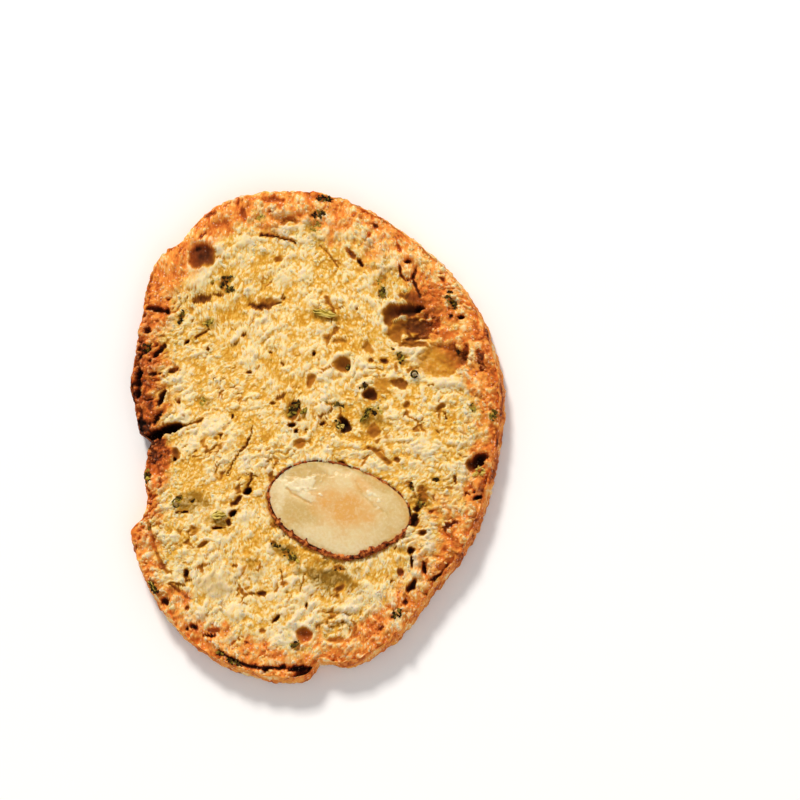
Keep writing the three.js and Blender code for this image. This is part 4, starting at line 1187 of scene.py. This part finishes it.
def write_spot(vert, layers, spot):
    """Stores how a place is coloured on its vertex."""
    for layer, value in zip(layers, spot[1:]):
        vert[layer] = value


def spot_layers(bm):
    """Vertex layers for all of a spot but its height."""
    return [bm.verts.layers.float.new(name) for name in Spot._fields[1:]]


def lay_face(bm, grid, layers, round_layer, height_share, spot_at):
    """A gridded face in the slice's outline, at the heights that spot_at gives."""
    verts = bmesh.ops.create_grid(bm, x_segments=grid, y_segments=grid, size=1.0)["verts"]
    for vert in verts:
        u, v = vert.co.x, vert.co.y
        vert[round_layer] = square_to_round(u, v)[0]
        place, from_rim = on_face(u, v, height_share)
        spot = spot_at(place.x, place.y, from_rim)
        vert.co = (place.x, place.y, spot.z)
        write_spot(vert, layers, spot)
    return verts


def open_seat(bm, verts, share, sink):
    """Opens a face where the almond goes, sinks the opening's edge in mm, and returns it."""
    inside = {v for v in verts if beyond_almond(v.co.x, v.co.y, share) < -0.12}
    faces = {f for v in inside for f in v.link_faces if all(w in inside for w in f.verts)}
    bmesh.ops.delete(bm, geom=list(faces), context="FACES")
    edges = {e for v in inside if v.is_valid for e in v.link_edges if e.is_boundary}
    for vert in {v for e in edges for v in e.verts}:
        vert.co.z -= sink
    return edges


def wall_spot(place, share):
    """How the crusty side is coloured at a share of its height."""
    point = Vector((place.x, place.y, share * 5))
    dark = towards(RIM_DARK, place.x, place.y)
    bump, level, edge = lumps(point, WALL_CRAG)
    # Gaps between the crags are painted darker as shade, and the higher crags paler as light.
    toast = 0.2 + 0.8 * dark + 0.4 * noise.noise(point / 2.2) + 0.2 * smooth_step(0.2, 0.02, edge)
    return Spot(0, toast - 0.2 * level, 0.7 * level + 0.3 * bump, 0, 0, 1)


def lay_wall(bm, edges, layers, round_layer):
    """Draws the face's edge down in rows to make the crusty side, and returns the lowest edge."""
    for share in WALL_ROWS:
        made = bmesh.ops.extrude_edge_only(bm, edges=list(edges))["geom"]
        edges = [g for g in made if isinstance(g, bmesh.types.BMEdge) and g.is_boundary]
        for vert in {v for e in edges for v in e.verts}:
            place = rim_point(vert[round_layer], share)
            vert.co = (place.x, place.y, share * (THICKNESS - WALL_DROP))
            write_spot(vert, layers, wall_spot(place, share))
    return edges


def cracker_slice(settings):
    """The slice of crumb: both faces, the side wall and the almond's seat, as one closed skin."""
    bm = bmesh.new()
    layers = spot_layers(bm)
    round_layer = bm.verts.layers.float.new("round_share")
    relief = settings.relief
    face = lay_face(bm, settings.face_grid, layers, round_layer, 1.0,
                    lambda x, y, from_rim: face_spot(x, y, from_rim, relief))
    rim = [e for e in bm.edges if e.is_boundary]
    lowest = lay_wall(bm, rim, layers, round_layer)
    upper_seat = open_seat(bm, face, 1.0, 0.5)
    back = lay_face(bm, settings.face_grid // 2, layers, round_layer, 0.0, back_spot)
    back_rim = {e for v in back for e in v.link_edges if e.is_boundary}
    bmesh.ops.bridge_loops(bm, edges=list(lowest) + list(back_rim))
    lower_seat = open_seat(bm, back, BACK_SHARE, -0.4)
    bmesh.ops.bridge_loops(bm, edges=list(upper_seat) + list(lower_seat))
    bm.verts.layers.float.remove(round_layer)
    bmesh.ops.recalc_face_normals(bm, faces=bm.faces)
    return bm


def place_grain(bm, layers, draw, relief):
    """One irregular grain of crumb, half sunk in the cut face; six in ten are near the rim."""
    u, v = draw.uniform(-1, 1), draw.uniform(-1, 1)
    if draw.random() < 0.6:
        outwards = draw.uniform(0.78, 0.985) / max(abs(u), abs(v))
        u, v = u * outwards, v * outwards
    size = 0.08 + 0.16 * draw.random() ** 2
    long, wide = draw.uniform(0.7, 1.5), draw.uniform(0.7, 1.2)
    heading, tilt = draw.uniform(0, math.tau), draw.uniform(-0.5, 0.5)
    paler = draw.uniform(0.0, 0.4)
    place, from_rim = on_face(u, v, 1.0)
    if beyond_almond(place.x, place.y) < 0.3 or from_rim < 0.2:
        return
    spot = face_spot(place.x, place.y, from_rim, relief)
    if spot.calm > 0.3:
        return
    verts = bmesh.ops.create_icosphere(bm, subdivisions=1, radius=size)["verts"]
    for vert in verts:
        vert.co *= draw.uniform(0.65, 1.25)
    stretch = Matrix.Diagonal((long, wide, 0.8, 1))
    turn = Matrix.Rotation(heading, 4, "Z") @ Matrix.Rotation(tilt, 4, "X")
    shift = Matrix.Translation((place.x, place.y, spot.z - 0.1 * size))
    bmesh.ops.transform(bm, matrix=shift @ turn @ stretch, verts=verts)
    lighter = spot._replace(toast=0.9 * spot.toast, pale=spot.pale + paler)
    for vert in verts:
        write_spot(vert, layers, lighter)


def scatter_grains(settings):
    """Grains of crumb that lie half sunk in the cut face."""
    draw = random.Random(settings.seed)
    whole = bmesh.new()
    spot_layers(whole)
    # Small batches stay quick to work on; each is then added to the whole.
    batch_size = 50
    for _ in range(settings.grains // batch_size):
        batch = bmesh.new()
        layers = spot_layers(batch)
        for _ in range(batch_size):
            place_grain(batch, layers, draw, settings.relief)
        add_to(whole, batch)
    return whole


def add_to(whole, batch):
    """Adds a finished bmesh to another that has the same layers."""
    mesh = bpy.data.meshes.new("batch")
    batch.to_mesh(mesh)
    batch.free()
    whole.from_mesh(mesh)
    bpy.data.meshes.remove(mesh)


def place_shard(bm, tone_layer, draw, herb, relief):
    """One angular fragment of dried leaf among those of a crumbled flake."""
    away, angle = math.sqrt(draw.random()) * 0.95, draw.uniform(0, math.tau)
    aside = Vector((away * math.cos(angle) * herb.half[0], away * math.sin(angle) * herb.half[1]))
    aside.rotate(Matrix.Rotation(math.radians(herb.turn), 2))
    x, y = herb.at[0] + aside.x, herb.at[1] + aside.y
    spot = face_spot(x, y, 3.0, relief)
    size = draw.uniform(0.14, 0.34)
    verts = bmesh.ops.create_icosphere(bm, subdivisions=1, radius=size)["verts"]
    for vert in verts:
        vert.co *= draw.uniform(0.6, 1.35)
    stretch = Matrix.Diagonal((draw.uniform(0.8, 1.5), draw.uniform(0.5, 1.0), 0.5, 1))
    turn = Matrix.Rotation(draw.uniform(0, math.tau), 4, "Z")
    tilt = Matrix.Rotation(draw.uniform(-0.9, 0.9), 4, "X")
    shift = Matrix.Translation((x, y, spot.z + draw.uniform(0.0, 0.16)))
    bmesh.ops.transform(bm, matrix=shift @ turn @ tilt @ stretch, verts=verts)
    tone = herb.tone + draw.choice((-0.2, -0.05, 0.05, 0.35))
    for vert in verts:
        vert[tone_layer] = tone


def place_leaf(bm, tone_layer, leaf, relief):
    """One soft, wrinkled piece of leaf, pressed into the crumb."""
    spot = face_spot(*leaf.at, 3.0, relief)
    verts = bmesh.ops.create_icosphere(bm, subdivisions=4, radius=1.0)["verts"]
    turn = Matrix.Rotation(math.radians(leaf.turn), 4, "Z")
    for vert in verts:
        fold = noise.noise(Vector((vert.co.x * 1.3, vert.co.y * 3.2, leaf.at[0])))
        vert.co = Vector((vert.co.x * leaf.half[0], vert.co.y * leaf.half[1], vert.co.z * 0.3))
        vert.co += noise_shift(vert.co / 0.5 + Vector((*leaf.at, 0))) * 0.22
        vert.co.z += 0.5 * fold
        vert[tone_layer] = leaf.tone + 0.9 * fold
    shift = Matrix.Translation((*leaf.at, spot.z + leaf.high))
    bmesh.ops.transform(bm, matrix=shift @ turn, verts=verts)


def place_curl(bm, tone_layer, curl, relief):
    """One curled strip of leaf: part of a ring, closed at both ends."""
    spot = face_spot(*curl.at, 3.0, relief)
    ring = bmesh.ops.create_circle(bm, segments=10, radius=curl.half)["verts"]
    edges = list({e for v in ring for e in v.link_edges})
    upright = Matrix.Translation((curl.radius, 0, 0)) @ Matrix.Rotation(math.pi / 2, 4, "X")
    bmesh.ops.transform(bm, matrix=upright, verts=ring)
    before = set(bm.verts) - set(ring)
    bmesh.ops.spin(bm, geom=ring + edges, cent=(0, 0, 0), axis=(0, 0, 1), steps=28,
                   angle=math.radians(curl.sweep))
    made = [v for v in bm.verts if v not in before]
    ends = list({e for v in made for e in v.link_edges if e.is_boundary})
    bmesh.ops.holes_fill(bm, edges=ends, sides=0)
    shift = Matrix.Translation((*curl.at, spot.z + CURL_LIFT))
    turn = Matrix.Rotation(math.radians(curl.start), 4, "Z")
    bmesh.ops.transform(bm, matrix=shift @ turn, verts=made)
    for vert in made:
        vert.co += noise_shift(vert.co / 0.5) * 0.16
        vert[tone_layer] = curl.tone + 0.5 * noise.noise(vert.co / 0.3)


def herb_flakes(settings):
    """Dried herb baked into the face: crumbled flakes, whole pieces of leaf and curled strips."""
    draw = random.Random(settings.seed + 1)
    whole = bmesh.new()
    whole.verts.layers.float.new("tone")
    for herb in HERBS:
        batch = bmesh.new()
        tone_layer = batch.verts.layers.float.new("tone")
        for _ in range(5 + round(9 * math.pi * herb.half[0] * herb.half[1])):
            place_shard(batch, tone_layer, draw, herb, settings.relief)
        add_to(whole, batch)
    batch = bmesh.new()
    tone_layer = batch.verts.layers.float.new("tone")
    for leaf in LEAVES:
        place_leaf(batch, tone_layer, leaf, settings.relief)
    for curl in CURLS:
        place_curl(batch, tone_layer, curl, settings.relief)
    bmesh.ops.recalc_face_normals(batch, faces=batch.faces)
    add_to(whole, batch)
    return whole


# ------------------------------------------------------------------- the almond


def taper(z):
    """How much narrower the almond is at a height."""
    return BACK_SHARE + (1 - BACK_SHARE) * z / THICKNESS


def almond_to_slice(x, y, z):
    """A point beside the almond's centre, tapered with depth and turned into the slice."""
    share = taper(z)
    c, s = math.cos(ALMOND_TURN), math.sin(ALMOND_TURN)
    return Vector((ALMOND_CENTRE[0] + (x * c - y * s) * share,
                   ALMOND_CENTRE[1] + (x * s + y * c) * share, z))


def almond_edge(round_share, inwards):
    """A point of the almond's outline, moved inwards along its normal."""
    point = sample(ALMOND_CURVE, round_share)
    run = sample(ALMOND_CURVE, round_share + 0.002) - sample(ALMOND_CURVE, round_share - 0.002)
    run.normalize()
    return point + Vector((-run.y, run.x)) * inwards


def beyond_line(x, y, start, end, rag):
    """How far a point lies to the left of a ragged line, in mm."""
    run = Vector(end) - Vector(start)
    aside = (run.x * (y - start[1]) - run.y * (x - start[0])) / run.length
    return aside + rag * (noise.noise(Vector((x / 1.1, y / 1.1, 3.3)))
                          + 0.5 * noise.noise(Vector((x / 0.4, y / 0.4, 4.4))))


def near_line(x, y, places, half_width):
    """1 on a line through the places, 0 beyond its half width."""
    point = Vector((x, y))
    point += 0.25 * noise_shift(Vector((x / 0.8, y / 0.8, 6.1))).xy
    nearest = half_width * 2
    for start, end in zip(map(Vector, places), map(Vector, places[1:])):
        run = end - start
        along = min(1.0, max(0.0, (point - start).dot(run) / run.length_squared))
        nearest = min(nearest, (point - start - run * along).length)
    return smooth_step(half_width, half_width * 0.2, nearest)


def kernel_spot(x, y, out):
    """The kernel's cut face at a place: height in mm, and how amber, golden and pale it is."""
    point = Vector((x, y, 0.0))
    dome = 0.42 * (1 - out ** 3)
    # The upper left corner has split off; its face is painted olive-golden as shade, with a torn
    # white ledge below it.
    split = min(-beyond_line(x, y, (-3.0, 4.1), (-7.6, 2.7), 0.7), 0.4 * (-3.0 - x) + 1.4)
    chip = smooth_step(0.0, 0.22, split)
    rag = 0.9 * noise.noise(point / 1.1) + 0.6 * noise.noise(point / 0.45)
    ledge = smooth_step(1.1, 0.9, oval_share(x, y, (-5.8, 2.4), (2.2, 1.0), 20) + 0.7 * rag)
    shard = smooth_step(1.1, 0.85, oval_share(x, y, (-5.0, 0.9), (1.5, 0.6), -18) + 0.7 * rag)
    cleft = near_line(x, y, CLEFT, 0.3)
    groove = near_line(x, y, GROOVE, 0.3)
    flaky = smooth_step(1.3, 0.5, oval_share(x, y, (-4.0, 1.6), (2.4, 1.2), 15))
    flaky = max(flaky, smooth_step(1.2, 0.5, oval_share(x, y, (4.9, 2.3), (2.4, 0.8), -33)))
    bump, level, _ = lumps(point, 0.7)
    high = dome - chip * (0.2 - 0.13 * min(3.0, max(0.0, split))) + 0.12 * ledge + 0.07 * shard
    high += flaky * (0.05 * bump + 0.25 * level) - 0.12 * cleft - 0.07 * groove
    high += 0.05 * noise.noise(point / 1.6)
    amber = smooth_step(1.25, 0.25, oval_share(x, y, (0.5, 0.4), (5.6, 3.2), -6))
    amber = max(amber, 0.6 * smooth_step(1.2, 0.3, oval_share(x, y, (2.2, 4.1), (2.4, 1.2), -30)))
    amber = max(amber, 0.8 * smooth_step(0.92, 0.99, out), 0.5 * cleft)
    golden = smooth_step(1.3, 0.2, oval_share(x, y, (-5.6, -1.6), (3.8, 2.8), 0))
    # Painted shade next to the skin: golden over the split-off corner and along the top edge.
    golden = max(golden, smooth_step(1.2, 0.6, oval_share(x, y, (-5.8, 3.8), (3.6, 2.1), 8)))
    golden = max(golden, smooth_step(1.2, 0.5, oval_share(x, y, (4.2, 5.0), (3.4, 1.0), -22)))
    golden = max(golden, smooth_step(0.84, 0.98, out), 0.8 * groove, 0.5 * smooth_step(3.0, 8.0, x))
    pale = max(0.7 * ledge, 0.55 * shard, 0.8 * flaky * smooth_step(0.0, 0.2, level), 0.0)
    pale = max(pale, 0.25 * smooth_step(-2.2, -5.2, y), 0.4 * smooth_step(-7.4, -8.6, x))
    return high, amber * (1 - chip * (1 - cleft)), max(golden, cleft), pale * (1 - cleft)


def almond_kernel(settings):
    """The kernel, cut lengthwise: a smooth chipped face, and its body down through the slice."""
    bm = bmesh.new()
    layers = [bm.verts.layers.float.new(name) for name in ("amber", "golden", "pale")]
    top = settings.kernel_top / MM
    inset = 0.36 * settings.skin_thickness / MM
    verts = bmesh.ops.create_grid(bm, x_segments=130, y_segments=110, size=1.0)["verts"]
    for vert in verts:
        round_share, out = square_to_round(vert.co.x, vert.co.y)
        edge = almond_edge(round_share, inset * (1 + 1.35 * skin_lower(round_share))) * out
        rise, *tones = kernel_spot(edge.x, edge.y, out)
        vert.co = almond_to_slice(edge.x, edge.y, top + rise)
        for layer, tone in zip(layers, tones):
            vert[layer] = tone
    edges = [e for e in bm.edges if e.is_boundary]
    for z, narrowing in KERNEL_ROWS:
        made = bmesh.ops.extrude_edge_only(bm, edges=edges)["geom"]
        edges = [g for g in made if isinstance(g, bmesh.types.BMEdge) and g.is_boundary]
        for vert in {v for e in edges for v in e.verts}:
            flat = vert.co - Vector((*ALMOND_CENTRE, 0))
            scale = taper(z) / taper(vert.co.z) * narrowing
            vert.co = (ALMOND_CENTRE[0] + flat.x * scale, ALMOND_CENTRE[1] + flat.y * scale, z)
    bmesh.ops.holes_fill(bm, edges=edges, sides=0)
    bmesh.ops.recalc_face_normals(bm, faces=bm.faces)
    return bm


def skin_lower(round_share):
    """1 below and on the right, where the skin is thick and crumpled, and 0 elsewhere."""
    return smooth_step(0.4, 0.62, round_share) * smooth_step(1.03, 0.93, round_share)


def skin_width(round_share):
    """The skin's width in mm: thin above and on the left, torn and uneven everywhere."""
    lower = skin_lower(round_share)
    around = Vector((math.cos(math.tau * round_share), math.sin(math.tau * round_share), 0.7))
    ragged = noise.noise(around * 7) + 0.9 * noise.noise(around * 19)
    ragged += 0.35 * noise.noise(around * 44)
    return 0.24 + 0.36 * lower + (0.2 + 0.3 * lower) * ragged


def almond_skin(settings):
    """The papery skin: a crumpled ring through the slice, its torn edge level with the crumb."""
    bm = bmesh.new()
    section_layer = bm.verts.layers.int.new("section_step")
    section = bmesh.ops.create_circle(bm, segments=len(SKIN_SECTION), radius=0.5)["verts"]
    for vert in section:
        turned = math.atan2(vert.co.y, vert.co.x) / math.tau
        vert[section_layer] = round(turned * len(SKIN_SECTION)) % len(SKIN_SECTION)
    upright = Matrix.Translation((2.0, 0, 0)) @ Matrix.Rotation(math.pi / 2, 4, "X")
    bmesh.ops.transform(bm, matrix=upright, verts=section)
    bmesh.ops.spin(bm, geom=bm.verts[:] + bm.edges[:], cent=(0, 0, 0), axis=(0, 0, 1),
                   angle=math.tau, steps=SKIN_STEPS, use_merge=True)
    bmesh.ops.recalc_face_normals(bm, faces=bm.faces)
    # The plain ring is then drawn to the almond's outline, as wide and crumpled as the skin is.
    scale = settings.skin_thickness / MEAN_SKIN
    for vert in bm.verts:
        turned = math.atan2(vert.co.y, vert.co.x) / math.tau
        round_share = round(turned * SKIN_STEPS) % SKIN_STEPS / SKIN_STEPS
        share, z = SKIN_SECTION[vert[section_layer]]
        width = max(0.1, skin_width(round_share)) * scale
        lower = skin_lower(round_share)
        point = almond_edge(round_share, share * width - 0.1)
        place = Vector((point.x, point.y, z))
        crumple = noise_shift(place / 0.9) + 0.7 * noise_shift(place / 0.4)
        rise = smooth_step(4.4, 5.1, z)
        point += crumple.xy * (0.08 + 0.18 * lower) * rise
        height = z + rise * ((0.12 + 0.3 * lower) * crumple.z + 0.08 * lower)
        vert.co = almond_to_slice(point.x, point.y, height)
    bm.verts.layers.int.remove(section_layer)
    return bm


# ------------------------------------------------------------------- the studio


def add_floor():
    """A wide white card under the slice."""
    bm = bmesh.new()
    bmesh.ops.create_grid(bm, x_segments=2, y_segments=2, size=2.0)
    mesh = bpy.data.meshes.new("white_card")
    bm.to_mesh(mesh)
    bm.free()
    mesh.materials.append(floor_material())
    floor = bpy.data.objects.new("white_card", mesh)
    bpy.context.scene.collection.objects.link(floor)


def from_angles(turn, height):
    """A unit direction from a compass turn, from +X, and an angle above the horizon."""
    return Vector((math.cos(turn) * math.cos(height), math.sin(turn) * math.cos(height),
                   math.sin(height)))


def add_lamp(lamp):
    """A square soft light that looks at the slice."""
    data = bpy.data.lights.new(lamp.name, "AREA")
    data.size = lamp.size
    data.energy = lamp.watts
    data.color = linear(lamp.colour)[:3]
    light = bpy.data.objects.new(lamp.name, data)
    direction = from_angles(math.radians(lamp.turn), math.radians(lamp.height))
    light.location = direction * lamp.distance
    light.rotation_mode = "QUATERNION"
    light.rotation_quaternion = direction.to_track_quat("Z", "Y")
    bpy.context.scene.collection.objects.link(light)


def add_lights():
    """A crisp key from above the top edge, a wide weak fill, and a pale surround."""
    for lamp in LAMPS:
        add_lamp(lamp)
    world = bpy.data.worlds.new("pale_room")
    world.use_nodes = True
    background = world.node_tree.nodes["Background"]
    background.inputs["Color"].default_value = (1.0, 1.0, 1.0, 1.0)
    background.inputs["Strength"].default_value = SURROUND
    bpy.context.scene.world = world


def add_camera(settings):
    """A long lens, nearly straight down on the cut face, framed as in the photograph."""
    direction = from_angles(settings.view_turn, settings.view_height)
    data = bpy.data.cameras.new("camera")
    data.type = "PERSP"
    data.sensor_width = SENSOR_WIDTH
    data.lens = SENSOR_WIDTH * settings.view_distance / settings.frame_width
    camera = bpy.data.objects.new("camera", data)
    forward = -direction
    right = forward.cross(Vector((0, 1, 0))).normalized()
    up = right.cross(forward)
    axes = Matrix((right, up, direction)).transposed()
    aim = Vector((0, 0, THICKNESS * MM)) + right * settings.shift_right + up * settings.shift_up
    stand = Matrix.Translation(aim + direction * settings.view_distance)
    camera.matrix_world = stand @ axes.to_4x4()
    bpy.context.scene.collection.objects.link(camera)
    bpy.context.scene.camera = camera


# ------------------------------------------------------------------ the operators


class CRACKER_OT_slice(bpy.types.Operator):
    """Makes the slice of crumb with its toasted rim."""

    bl_idname = "cracker.slice"
    bl_label = "Slice"

    def execute(self, context):
        settings = context.scene.cracker
        finish_piece("crumb_slice", cracker_slice(settings), baked_crumb_material(settings),
                     "cracker")
        return {"FINISHED"}


class CRACKER_OT_grains(bpy.types.Operator):
    """Scatters grains of crumb over the cut face."""

    bl_idname = "cracker.grains"
    bl_label = "Grains"

    def execute(self, context):
        material = bpy.data.materials["twice_baked_crumb"]
        finish_piece("crumb_grains", scatter_grains(context.scene.cracker), material)
        return {"FINISHED"}


class CRACKER_OT_herbs(bpy.types.Operator):
    """Presses the herb flakes into the cut face."""

    bl_idname = "cracker.herbs"
    bl_label = "Herb flakes"

    def execute(self, context):
        herbs = herb_flakes(context.scene.cracker)
        finish_piece("herb_flakes", herbs, herb_material(), smooth=False)
        return {"FINISHED"}


class CRACKER_OT_almond(bpy.types.Operator):
    """Makes the almond's kernel and its skin."""

    bl_idname = "cracker.almond"
    bl_label = "Almond"

    def execute(self, context):
        settings = context.scene.almond
        finish_piece("kernel", almond_kernel(settings), kernel_material(settings),
                     "almond_kernel")
        finish_piece("skin", almond_skin(settings), skin_material(settings),
                     "almond_skin")
        return {"FINISHED"}


class CRACKER_OT_studio(bpy.types.Operator):
    """Sets the floor, the lights and the camera."""

    bl_idname = "cracker.studio"
    bl_label = "Studio"

    def execute(self, context):
        settings = context.scene.studio
        add_floor()
        add_lights()
        add_camera(settings)
        context.scene.view_settings.view_transform = "Standard"
        return {"FINISHED"}


class CRACKER_PT_panel(bpy.types.Panel):
    """Lists the steps and settings of the cracker."""

    bl_idname = "CRACKER_PT_panel"
    bl_label = "Cracker"
    bl_space_type = "VIEW_3D"
    bl_region_type = "UI"
    bl_category = "Cracker"

    def draw(self, context):
        layout = self.layout
        for group in (context.scene.cracker, context.scene.almond, context.scene.studio):
            for name in group.bl_rna.properties.keys():
                if name not in ("rna_type", "name"):
                    layout.prop(group, name)
        for operator in OPERATORS:
            layout.operator(operator.bl_idname)


OPERATORS = (CRACKER_OT_slice, CRACKER_OT_grains, CRACKER_OT_herbs, CRACKER_OT_almond,
             CRACKER_OT_studio)
CLASSES = (CrackerSettings, AlmondSettings, StudioSettings, *OPERATORS, CRACKER_PT_panel)


def register():
    """Adds the settings, operators and panel to the session."""
    for cls in CLASSES:
        bpy.utils.register_class(cls)
    bpy.types.Scene.cracker = bpy.props.PointerProperty(type=CrackerSettings)
    bpy.types.Scene.almond = bpy.props.PointerProperty(type=AlmondSettings)
    bpy.types.Scene.studio = bpy.props.PointerProperty(type=StudioSettings)


def unregister():
    """Takes them away again."""
    del bpy.types.Scene.studio
    del bpy.types.Scene.almond
    del bpy.types.Scene.cracker
    for cls in reversed(CLASSES):
        bpy.utils.unregister_class(cls)


def main():
    """Makes every piece in order."""
    register()
    bpy.ops.cracker.slice()
    bpy.ops.cracker.grains()
    bpy.ops.cracker.herbs()
    bpy.ops.cracker.almond()
    bpy.ops.cracker.studio()


if __name__ == "__main__":
    main()
